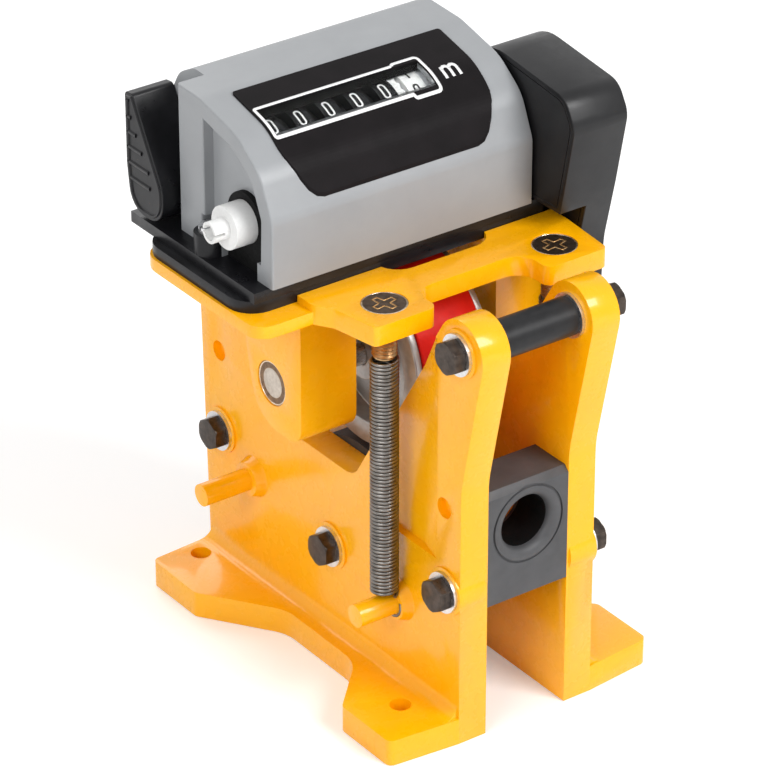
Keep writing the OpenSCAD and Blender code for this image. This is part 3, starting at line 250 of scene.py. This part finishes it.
def mesh_of(name, points, faces, degrees=35):
    """A mesh from points in metres, smooth but for its sharp edges."""
    work = bmesh.new()
    verts = [work.verts.new(point) for point in points]
    for face in faces:
        work.faces.new([verts[i] for i in face])
    bmesh.ops.recalc_face_normals(work, faces=work.faces)
    mesh = bpy.data.meshes.new(name)
    work.to_mesh(mesh)
    work.free()
    smooth(mesh, degrees)
    return mesh


def smooth(mesh, degrees=35):
    mesh.shade_smooth()
    mesh.set_sharp_from_angle(angle=math.radians(degrees))


def soften(node, width):
    """Rounds the sharp edges of a solid by a width in millimetres."""
    piece = nodes[node]
    weld = piece.modifiers.new("weld", "WELD")
    weld.merge_threshold = WELD
    flat = piece.modifiers.new("flat", "DECIMATE")
    flat.decimate_type = "DISSOLVE"
    flat.angle_limit = FLAT
    round_off = piece.modifiers.new("round_off", "BEVEL")
    round_off.width = width * MM
    round_off.segments = 3
    round_off.limit_method = "ANGLE"
    round_off.angle_limit = SHARP
    round_off.harden_normals = True
    smooth(piece.data, 32)


def rounded_copy(name, node, rules, cuts=()):
    """A piece in place of a node, its edges rounded as the rules say.

    A rule is a width in millimetres, a number of segments and a test of an edge's middle, also in
    millimetres. Long faces are cut across at the places along x in cuts, which keeps them evenly lit.
    """
    work = bmesh.new()
    work.from_mesh(nodes[node].data)
    bmesh.ops.remove_doubles(work, verts=work.verts, dist=WELD)
    bmesh.ops.dissolve_limit(work, angle_limit=FLAT, verts=work.verts, edges=work.edges)
    for x in cuts:
        bmesh.ops.bisect_plane(work, geom=list(work.verts) + list(work.edges) + list(work.faces),
                               plane_co=mm(x, 0, 0), plane_no=(1, 0, 0))
    for width, segments, chosen in rules:
        edges = [e for e in work.edges if e.is_manifold and e.calc_face_angle() > SHARP
                 and chosen(*((e.verts[0].co + e.verts[1].co) / 2 / MM))]
        bmesh.ops.bevel(work, geom=edges, offset=width * MM, offset_type="OFFSET", segments=segments,
                        profile=0.5, affect="EDGES", clamp_overlap=True)
    mesh = bpy.data.meshes.new(name)
    work.to_mesh(mesh)
    work.free()
    smooth(mesh)
    row = next(row for row in frame["record"]["subparts"] if row["node"] == node)
    made = piece_of(name, mesh, BODY_OF[node], row["material_slot"])
    even = made.modifiers.new("even", "WEIGHTED_NORMAL")
    even.keep_sharp = True
    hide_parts(node)
    return made


def turned(name, profile, centre, axis, body, slot, material=None, steps=64, teeth=0, depth=0.0):
    """A piece turned about an axis, from (place along it, radius) in millimetres, closed on itself.

    With teeth its radius swings by the depth, also in millimetres.
    """
    along = Vector(axis)
    side = along.orthogonal().normalized()
    up = along.cross(side)
    points, faces = [], []
    for i in range(steps):
        t = 2 * math.pi * i / steps
        wave = depth if teeth and (i * teeth * 2 // steps) % 2 else 0.0
        for place, radius in profile:
            points.append(centre + along * place * MM
                          + (side * math.cos(t) + up * math.sin(t)) * (radius - wave) * MM)
    n = len(profile)
    for i in range(steps):
        j = (i + 1) % steps
        for k in range(n):
            m = (k + 1) % n
            faces.append((n * i + k, n * j + k, n * j + m, n * i + m))
    return piece_of(name, mesh_of(name, points, faces), body, slot, material)


def swept_tube(name, path, radius, sides, body, slot):
    """A round tube along a list of points, closed at both ends."""
    points, faces = [], []
    across = Vector((1, 0, 0))
    for i, point in enumerate(path):
        along = (path[min(i + 1, len(path) - 1)] - path[max(i - 1, 0)]).normalized()
        across = (across - along * across.dot(along)).normalized()
        up = along.cross(across)
        for k in range(sides):
            a = 2 * math.pi * k / sides
            points.append(point + radius * (math.cos(a) * across + math.sin(a) * up))
    for i in range(len(path) - 1):
        for k in range(sides):
            n = (k + 1) % sides
            faces.append((sides * i + k, sides * i + n, sides * i + sides + n, sides * i + sides + k))
    faces.append(range(sides))
    faces.append(range(len(points) - sides, len(points)))
    return piece_of(name, mesh_of(name, points, faces, 60), body, slot)


def ribbon(path, width, closed=False, step=0.5):
    """A flat band of one width along a path in a plane: its points and faces, in millimetres."""
    path = [Vector(point) for point in path]
    fine = []
    for a, b in zip(path, path[1:] + path[:1] if closed else path[1:]):
        parts = max(1, math.ceil((b - a).length / step))
        fine += [a + (b - a) * i / parts for i in range(parts)]
    if not closed:
        fine.append(path[-1])
    points, faces, n = [], [], len(fine)
    for i, point in enumerate(fine):
        before = point - fine[i - 1] if closed or i else fine[1] - point
        after = fine[(i + 1) % n] - point if closed or i < n - 1 else before
        before, after = before.normalized(), after.normalized()
        middle_way = (before + after).normalized()
        out = Vector((-middle_way.y, middle_way.x)) * (width / 2 / max(middle_way.dot(after), 0.5))
        points += [point + out, point - out]
    for i in range(n if closed else n - 1):
        j = (i + 1) % n
        faces.append((2 * i, 2 * i + 1, 2 * j + 1, 2 * j))
    return points, faces


def bands(name, made, put, body, slot, material, thick=0.06):
    """One piece from flat bands, each point of them put in its place in metres."""
    points, faces = [], []
    for flat, flat_faces in made:
        faces += [tuple(i + len(points) for i in face) for face in flat_faces]
        points += [put(point) for point in flat]
    piece = piece_of(name, mesh_of(name, points, faces), body, slot, material)
    solid = piece.modifiers.new("thickness", "SOLIDIFY")
    solid.thickness = thick * MM
    solid.offset = 0
    return piece


def bend(centre, radius, start, end, steps=6):
    """Points along an arc in a plane, between two angles in degrees."""
    turns = [math.radians(start + (end - start) * i / steps) for i in range(steps + 1)]
    return [(centre[0] + radius * math.cos(t), centre[1] + radius * math.sin(t)) for t in turns]


# Colours for every solid that keeps its shape

for row in frame["record"]["subparts"]:
    paint(nodes[row["node"]], row["material_slot"])

paint(nodes["spacer_tube"], "bolt_black", SPACER_BLACK)

for node, width in (("left_side_casting", 1.5), ("right_side_casting", 1.5), ("carriage_casting", 1.2),
                    ("front_guide_block", 0.35), ("rear_guide_block", 0.35), ("adapter_plate", 0.6),
                    ("counter_base", 0.5), ("belt_cover", 1.2), ("tie_bolts", 0.4), ("tie_nuts", 0.4),
                    ("setting_knob", 0.3), ("wheel_hub", 0.5), ("wheel_tyre", 0.5)):
    soften(node, width)

lever_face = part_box("reset_lever")[0].x / MM
rounded_copy("lever_shell", "reset_lever", ((1.0, 3, lambda x, y, z: True),))

END_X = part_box("counter_housing")[0].x / MM
SHAFT = middle("counter_shaft") / MM
BASE_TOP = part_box("counter_base")[0].z / MM + 3.7
KNOB_HOLE_R = 9.5


def on_rim(x, y, z):
    """The edges of the left end, apart from those round the knob and at the foot."""
    clear = math.hypot(y - SHAFT.y, z - SHAFT.z) > KNOB_HOLE_R + 1
    under = z < SHAFT.z and abs(y - SHAFT.y) < KNOB_HOLE_R + 1
    return x < END_X + 0.1 and z > BASE_TOP + 2 and clear and not under


rounded_copy("housing_shell", "counter_housing", (
    (2.2, 5, on_rim),
    (0.5, 2, lambda x, y, z: x > END_X + 3 and z > BASE_TOP + 1),
), cuts=(-50.5, 12, 26.5))

for node in nodes:
    if not nodes[node].modifiers:
        smooth(nodes[node].data)


# Springs, close wound up to the end of their screws

WIRE = 1.25
COIL_R = 4.0
PEG_Z = 38
HOOK_R = 4.55
HOOK_IN = 3.2


def spring(side):
    node = side + "_spring"
    low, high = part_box(node)
    sign = 1 if side == "right" else -1
    x, y = sign * middle("right_spring").x, middle("spring_screws").y
    start, end = low.z / MM + 1.4 * WIRE, high.z / MM - 0.4 * WIRE
    steps = 20
    count = int((end - start) / (WIRE * 1.02) * steps)
    path = []
    for i in range(-4, count + 1):
        t = 2 * math.pi * i / steps
        rise = start + (end - start) * max(i / count, 0)
        if i < 0:
            rise -= 0.35 * WIRE * i * i / 6
        path.append(Vector((x, y, 0)) + mm(-sign * COIL_R * math.cos(t), COIL_R * math.sin(t), rise))
    made = swept_tube(side + "_coil", path, WIRE / 2 * MM, 8, "frame", "spring_steel")
    made.parent = None
    del made["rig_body"]
    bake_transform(made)
    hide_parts(node)
    bent = [Vector((x, y, PEG_Z * MM)) + mm(-sign * HOOK_IN, HOOK_R * math.cos(t), HOOK_R * math.sin(t))
            for t in [math.radians(50 - 25 * i) for i in range(11)]]
    bent.insert(0, Vector((x, y, start * MM)) + mm(-sign * HOOK_IN, 2.4, 0.2))
    swept_tube(side + "_hook", bent, WIRE / 2 * MM, 8, "frame", "spring_steel")


spring("left")
spring("right")


# Heads of the spring screws: a rim with a painted highlight round a dark face, and a painted highlight along
# the edge round the cross

HEAD_R = 7.3
head_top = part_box("spring_screws")[1].z + 0.02 * MM
CROSS = []
for quarter in range(4):
    turn = math.radians(90 * quarter + 12)
    for angle, radius in ((-45, 1.7), (-13, 4.2), (13, 4.2)):
        a = turn + math.radians(angle)
        CROSS.append((radius * math.cos(a), radius * math.sin(a)))

for side, sign in (("left", -1), ("right", 1)):
    centre = Vector((sign * middle("right_spring").x, middle("spring_screws").y, head_top))
    turned(side + "_head_face", [(-0.1, 0.05), (0.06, 0.05), (0.06, 6.7), (-0.1, 6.7)], centre, (0, 0, 1),
           "carriage", "bronze", HEAD_DARK)
    turned(side + "_head_rim_highlight", [(-0.1, 6.6), (0.1, 6.75), (0.1, 7.0), (-0.1, HEAD_R)], centre, (0, 0, 1),
           "carriage", "bronze", HIGHLIGHT_METAL)
    bands(side + "_head_cross_highlight", [ribbon(CROSS, 0.6, closed=True)],
          lambda p: centre + mm(p.x, p.y, 0.1), "carriage", "bronze", CROSS_HIGHLIGHT)


# Ends of the wheel axle and the bushes round them, with a painted highlight on each bush rim, and painted
# shade inside the bores of the guide blocks

bush_low, bush_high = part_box("axle_bushes")
bush_middle = middle("axle_bushes")
for side, x, sign in (("left", bush_low.x, -1), ("right", bush_high.x, 1)):
    centre = Vector((x, bush_middle.y, bush_middle.z))
    # Painted highlight: a bright ring on the rim of the bush
    turned(side + "_bush_rim_highlight", [(-0.1, 6.75), (0.12, 6.9), (0.12, 7.2), (-0.1, 7.4)], centre, (sign, 0, 0),
           "carriage", "bronze", HIGHLIGHT_METAL)
    turned(side + "_bush_face", [(-0.1, 5.0), (0.04, 5.0), (0.04, 6.8), (-0.1, 6.8)], centre, (sign, 0, 0),
           "carriage", "bronze", BUSH_BROWN)
    turned(side + "_axle_end", [(-0.1, 0.05), (0.1, 0.05), (0.1, 4.6), (0.02, 4.9), (-0.1, 4.9)], centre,
           (sign, 0, 0), BODY_OF["wheel_axle"], "steel", AXLE_END)

BORE_R = 9.0
BORE_MOUTH = 2.85
BORE_Z = 71.5
BORE_SKIN = 0.06
BORE_BEHIND = 0.2
# Painted shade: a near black skin inside each bore
for block in ("front_guide_block", "rear_guide_block"):
    low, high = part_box(block)
    end = (high.y - low.y) / MM - BORE_MOUTH
    inside, behind = BORE_R - BORE_SKIN, BORE_R + BORE_BEHIND
    turned(block + "_bore_shade", [(BORE_MOUTH, inside), (end, inside), (end, behind), (BORE_MOUTH, behind)],
           Vector((0, low.y, BORE_Z * MM)), (0, 1, 0), BODY_OF[block], "guide_plastic", SHADE_BLACK)


# Numerals of the counter, drawn as bands with round turns

DIGIT_W = 1.9
DIGIT_H = 5.6
BAR = 0.62


def digit_paths(digit):
    """The paths of one numeral, centred, with its top at positive y."""
    w, h = DIGIT_W / 2, DIGIT_H / 2
    q = h / 2
    top = bend((0, h - w), w, 0, 180)
    foot = bend((0, w - h), w, 180, 360)
    return {
        0: [(top + foot, True)],
        1: [([(-w, h - 1), (0.2, h), (0.2, -h)], False)],
        2: [([(-w, h - w)] + bend((0, h - w), w, 160, -30) + [(-w, -h), (w, -h)], False)],
        3: [(bend((0, q), w, 150, -75) + bend((0, -q), w * 1.1, 75, -150), False)],
        4: [([(w * 0.5, -h), (w * 0.5, h), (-w, -0.5), (w * 1.1, -0.5)], False)],
        5: [([(w, h), (-w * 0.8, h), (-w, 0.2)] + bend((0, -q), w * 1.1, 110, -140), False)],
        6: [([(w * 0.6, h), (-w, -0.3)] + foot + bend((0, -0.1), w, 0, 170), False)],
        7: [([(-w, h), (w, h), (-w * 0.2, -h)], False)],
        8: [(bend((0, q), w * 0.9, -90, 270, 14), True), (bend((0, -q), w * 1.1, 90, 450, 14), True)],
        9: [([(-w * 0.6, -h), (w, 0.3)] + top + bend((0, 0.1), w, 180, 350), False)],
    }[digit]


def numerals(wheel, shift, read_angle, scale, material):
    """Ten numerals round a wheel, zero at the reading angle and the next ones behind it."""
    low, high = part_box(wheel)
    centre = (low + high) / 2
    radius = (high.z - low.z) / 2 + 0.02 * MM
    x0 = low.x + 3.2 * MM + shift * MM
    drawn = []
    for digit in range(10):
        lean = radius * math.radians(read_angle - 36 * digit)
        for path, closed in digit_paths(digit):
            flat, faces = ribbon(path, BAR / scale, closed)
            drawn.append(([Vector((p.x * scale, lean / MM - p.y * scale)) for p in flat], faces))

    def put(p):
        t = p.y * MM / radius
        return Vector((x0 + p.x * MM, centre.y - radius * math.sin(t), centre.z + radius * math.cos(t)))

    bands(wheel + "_numerals", drawn, put, BODY_OF[wheel], "white_plastic", material)


for i in range(1, 6):
    numerals("digit_wheel_%d" % i, -0.35, 23.0, 1.0, PRINT_WHITE)
numerals("tenths_wheel", -0.1, 39.8, 0.86, PRINT_BLACK)

tenths = middle("digit_wheel_1")
tenths_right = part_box("tenths_wheel")[1].x / MM
turned("tenths_teeth", [(-0.2, 10.0), (-0.2, 12.0), (2.4, 12.0), (2.4, 10.0)],
       Vector((0, tenths.y, tenths.z)), (1, 0, 0), "tenths", "white_plastic", steps=96, teeth=24, depth=0.7)
# A grey band over the right end of the white tenths gear, darker than the gear
turned("gear_band", [(tenths_right - 3.0, 12.2), (tenths_right - 3.0, 12.4), (tenths_right, 12.4),
                     (tenths_right, 12.2)], Vector((0, tenths.y, tenths.z)), (1, 0, 0), "tenths",
       "white_plastic", GEAR_GREY)


# White outline round the window and the unit beside it, printed on the label

label = nodes["label_panel"].data
over_label = BVHTree.FromPolygons([v.co for v in label.vertices], [p.vertices for p in label.polygons])
REAR_SHIFT = -73.7


def on_label(p):
    """Lays a point on the label from above; its y counts from the front edge of the base."""
    x, y = p.x * MM, (p.y + REAR_SHIFT) * MM
    hit = over_label.ray_cast(Vector((x, y, 1)), Vector((0, 0, -1)))[0]
    if hit is None:
        hit = over_label.find_nearest(Vector((x, y, 0.195)))[0]
    return hit + Vector((0, 0, 0.04 * MM))


def corner(x, y, turn, radius=1.3, sweep=90):
    """A rounded corner of the outline, which turns from one angle by a sweep."""
    a, b = math.radians(turn), math.radians(turn + sweep)
    cx = x - radius * (math.cos(a) + math.cos(b))
    cy = y - radius * (math.sin(a) + math.sin(b))
    return bend((cx, cy), radius, turn, turn + sweep, 5)


# The long part of the outline, and the wider one over the last wheel
LONG_LEFT, LONG_REAR, LONG_FRONT = -49.65, 74.05, 62.05
WIDE_RIGHT, WIDE_REAR, WIDE_FRONT = 11.4, 74.9, 60.9
TIGHT = 0.7
outline = (corner(WIDE_RIGHT, WIDE_REAR, 0) + corner(1.7, WIDE_REAR, 90, 1.0) + [(1.7, 74.1)]
           + corner(LONG_LEFT, LONG_REAR, 90, TIGHT) + corner(LONG_LEFT, LONG_FRONT, 180, TIGHT)
           + [(1.3, LONG_FRONT)] + corner(1.5, WIDE_FRONT, 180, TIGHT) + corner(WIDE_RIGHT, WIDE_FRONT, 270))
unit = [[(0, 0), (0, 4.2)],
        [(0, 2.9)] + bend((1.35, 2.9), 1.3, 170, 0, 5) + [(2.65, 0)],
        [(2.65, 2.9)] + bend((4.0, 2.9), 1.3, 170, 0, 5) + [(5.3, 0)]]
unit = [[(15.3 + x, 63.5 + y) for x, y in path] for path in unit]
bands("window_outline", [ribbon(outline, 1.05, closed=True, step=0.6)], on_label, "carriage", "label_black",
      PRINT_WHITE)
bands("unit_mark", [ribbon(path, 1.05, step=0.4) for path in unit], on_label, "carriage", "label_black",
      PRINT_WHITE)


# Painted shade: a black sheet behind the setting knob, and black sheets on the walls of the window, where
# both lie in shade

def plate(name, outline_points, x0, x1, body, slot, material=None):
    """A flat plate across x, from an outline of (y, z) points, all in millimetres."""
    n = len(outline_points)
    points = [mm(x, y, z) for x in (x0, x1) for y, z in outline_points]
    faces = [range(n), range(n, 2 * n)] + [(i, (i + 1) % n, n + (i + 1) % n, n + i) for i in range(n)]
    return piece_of(name, mesh_of(name, points, faces), body, slot, material)


keyhole = bend((SHAFT.y, SHAFT.z), KNOB_HOLE_R - 0.05, 0, 180, 24) + [
    (SHAFT.y - KNOB_HOLE_R + 0.05, BASE_TOP + 0.1), (SHAFT.y + KNOB_HOLE_R - 0.05, BASE_TOP + 0.1)]
plate("knob_hole_shade", keyhole, END_X + 2.2, END_X + 4.0, "carriage", "counter_black", SHADE_BLACK)

window_low, window_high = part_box("window_lens")
wx0, wx1 = window_low.x / MM, window_high.x / MM
wy0, wy1 = window_low.y / MM, window_high.y / MM
WALL_T = 0.25
WALL_SINK = 0.02
REAR_FOOT = 194.4
FRONT_FOOT = 187.5
# Painted shade: black sheets on the front and rear walls of the window
for name, y0, y1, foot in (("window_rear_shade", wy1 - WALL_T, wy1 + WALL_SINK, REAR_FOOT),
                           ("window_front_shade", wy0 - WALL_SINK, wy0 + WALL_T, FRONT_FOOT)):
    top = min(on_label(Vector((x, y0 + (y1 > wy1) * 0.6 - REAR_SHIFT))).z for x in (-40, 0)) / MM - 0.5
    plate(name, [(y0, foot), (y1, foot), (y1, top), (y0, top)], wx0, wx1, "carriage", "counter_black",
          SHADE_BLACK)


# Reset lever: a raised rim round its outer face and ribs for the thumb

LEVER_RIM = 1.3
lever_mesh = bmesh.new()
lever_mesh.from_mesh(nodes["reset_lever"].data)
bmesh.ops.remove_doubles(lever_mesh, verts=lever_mesh.verts, dist=WELD)
bmesh.ops.dissolve_limit(lever_mesh, angle_limit=FLAT, verts=lever_mesh.verts, edges=lever_mesh.edges)
outer = max((f for f in lever_mesh.faces if f.normal.x < -0.99), key=lambda f: f.calc_area())
rim_line = [Vector((v.co.y / MM, v.co.z / MM)) for v in outer.verts]
lever_mesh.free()


def inset(points, by):
    """An outline of (y, z) points moved towards its inside by a distance."""
    area = sum(a.x * b.y - b.x * a.y for a, b in zip(points, points[1:] + points[:1]))
    sign = 1 if area > 0 else -1
    moved = []
    for i, p in enumerate(points):
        u = (p - points[i - 1]).normalized()
        v = (points[(i + 1) % len(points)] - p).normalized()
        way = (u + v).normalized()
        moved.append(p + Vector((-way.y, way.x)) * sign * by / max(way.dot(v), 0.6))
    return moved


near, far = inset(rim_line, 0.9), inset(rim_line, 0.9 + LEVER_RIM)
lifted = [inset(rim_line, 1.2), inset(rim_line, 0.6 + LEVER_RIM)]
n = len(rim_line)
rings = [(near, lever_face + 0.1), (lifted[0], lever_face - 0.45), (lifted[1], lever_face - 0.45),
         (far, lever_face + 0.1)]
points = [mm(x, p.x, p.y) for ring, x in rings for p in ring]
faces = [(n * a + i, n * a + (i + 1) % n, n * b + (i + 1) % n, n * b + i)
         for a, b in ((0, 1), (1, 2), (2, 3), (3, 0)) for i in range(n)]
piece_of("lever_rim", mesh_of("lever_rim", points, faces, 60), "reset", "counter_black")

for k, (front, height) in enumerate(((117.2, 189.2), (116.2, 183.6), (113.6, 178.4), (110.6, 173.4),
                                     (107.0, 168.2), (106.4, 163.0))):
    y0, y1 = front + REAR_SHIFT, 118.3 + REAR_SHIFT
    if height < 165:
        y1 = 117.0 + REAR_SHIFT
    shape = [(0.1, height + 0.9), (-0.45, height + 0.3), (-0.45, height - 0.3), (0.1, height - 1.1)]
    points = [mm(lever_face + x, y, z) for y in (y0, y1) for x, z in shape]
    piece_of("lever_rib_%d" % (k + 1), mesh_of("rib", points, [
        (0, 1, 2, 3), (4, 5, 6, 7), (0, 1, 5, 4), (1, 2, 6, 5), (2, 3, 7, 6), (3, 0, 4, 7)]), "reset",
        "counter_black")


# Camera, lights and floor

CAMERA_BACK = Vector((-0.5110, -0.7048, 0.4920))
CAMERA_AT = Vector((-0.7317, -1.0072, 0.7907))


def camera():
    data = bpy.data.cameras.new("camera")
    data.lens = 210.75
    data.sensor_width = 36
    data.clip_start, data.clip_end = 0.05, 20
    made = bpy.data.objects.new("camera", data)
    made.location = CAMERA_AT
    made.rotation_mode = "QUATERNION"
    made.rotation_quaternion = (-CAMERA_BACK).to_track_quat("-Z", "Y")
    bpy.context.scene.collection.objects.link(made)
    bpy.context.scene.camera = made


def area_light(name, place, aim, size_m, power):
    data = bpy.data.lights.new(name, "AREA")
    data.shape = "SQUARE"
    data.size = size_m
    data.energy = power
    made = bpy.data.objects.new(name, data)
    made.location = place
    made.rotation_mode = "QUATERNION"
    made.rotation_quaternion = (Vector(aim) - Vector(place)).to_track_quat("-Z", "Y")
    bpy.context.scene.collection.objects.link(made)


def seen_plainly(tree):
    """One for rays from the camera, glossy and clear surfaces, and none for the rest."""
    path = tree.nodes.new("ShaderNodeLightPath")
    seen = tree.nodes.new("ShaderNodeMath")
    seen.operation = "MAXIMUM"
    seen_too = tree.nodes.new("ShaderNodeMath")
    seen_too.operation = "MAXIMUM"
    tree.links.new(path.outputs["Is Camera Ray"], seen.inputs[0])
    tree.links.new(path.outputs["Is Glossy Ray"], seen.inputs[1])
    tree.links.new(seen.outputs[0], seen_too.inputs[0])
    tree.links.new(path.outputs["Is Transmission Ray"], seen_too.inputs[1])
    return seen_too.outputs[0]


def world():
    made = bpy.data.worlds.new("world")
    made.use_nodes = True
    tree = made.node_tree
    background = tree.nodes["Background"]
    seen = seen_plainly(tree)
    mixed = tree.nodes.new("ShaderNodeMix")
    mixed.data_type = "FLOAT"
    mixed.inputs[2].default_value = 0.42
    mixed.inputs[3].default_value = 1.0
    tree.links.new(seen, mixed.inputs[0])
    tree.links.new(mixed.outputs[0], background.inputs["Strength"])
    background.inputs["Color"].default_value = (1, 1, 1, 1)
    bpy.context.scene.world = made


FLOOR_LIFT = 0.22  # brings a lit floor to white without lighting the object
FLOOR_Z = -0.0002


def floor():
    mesh = bpy.data.meshes.new("floor")
    half = 3.0
    mesh.from_pydata([(-half, -half, FLOOR_Z), (half, -half, FLOOR_Z), (half, half, FLOOR_Z),
                      (-half, half, FLOOR_Z)], [], [(0, 1, 2, 3)])
    made = bpy.data.objects.new("floor", mesh)
    bpy.context.scene.collection.objects.link(made)
    mat, tree, shader = node_tree("floor_white")
    shader.inputs["Base Color"].default_value = (0.92, 0.92, 0.92, 1)
    shader.inputs["Roughness"].default_value = 0.6
    shader.inputs["Emission Color"].default_value = (1, 1, 1, 1)
    lift = tree.nodes.new("ShaderNodeMath")
    lift.operation = "MULTIPLY"
    lift.inputs[1].default_value = FLOOR_LIFT
    tree.links.new(seen_plainly(tree), lift.inputs[0])
    tree.links.new(lift.outputs[0], shader.inputs["Emission Strength"])
    made.data.materials.append(mat)


camera()
world()
floor()
area_light("key", (0.45, -1.25, 1.15), (0, 0, 0.1), 0.7, 22)
area_light("side", (-1.2, -0.5, 0.9), (0, 0, 0.1), 0.8, 9)
area_light("back", (0.2, 1.2, 1.1), (0, 0, 0.12), 0.9, 7)

view = bpy.context.scene.view_settings
view.view_transform = "Standard"
view.look = "None"
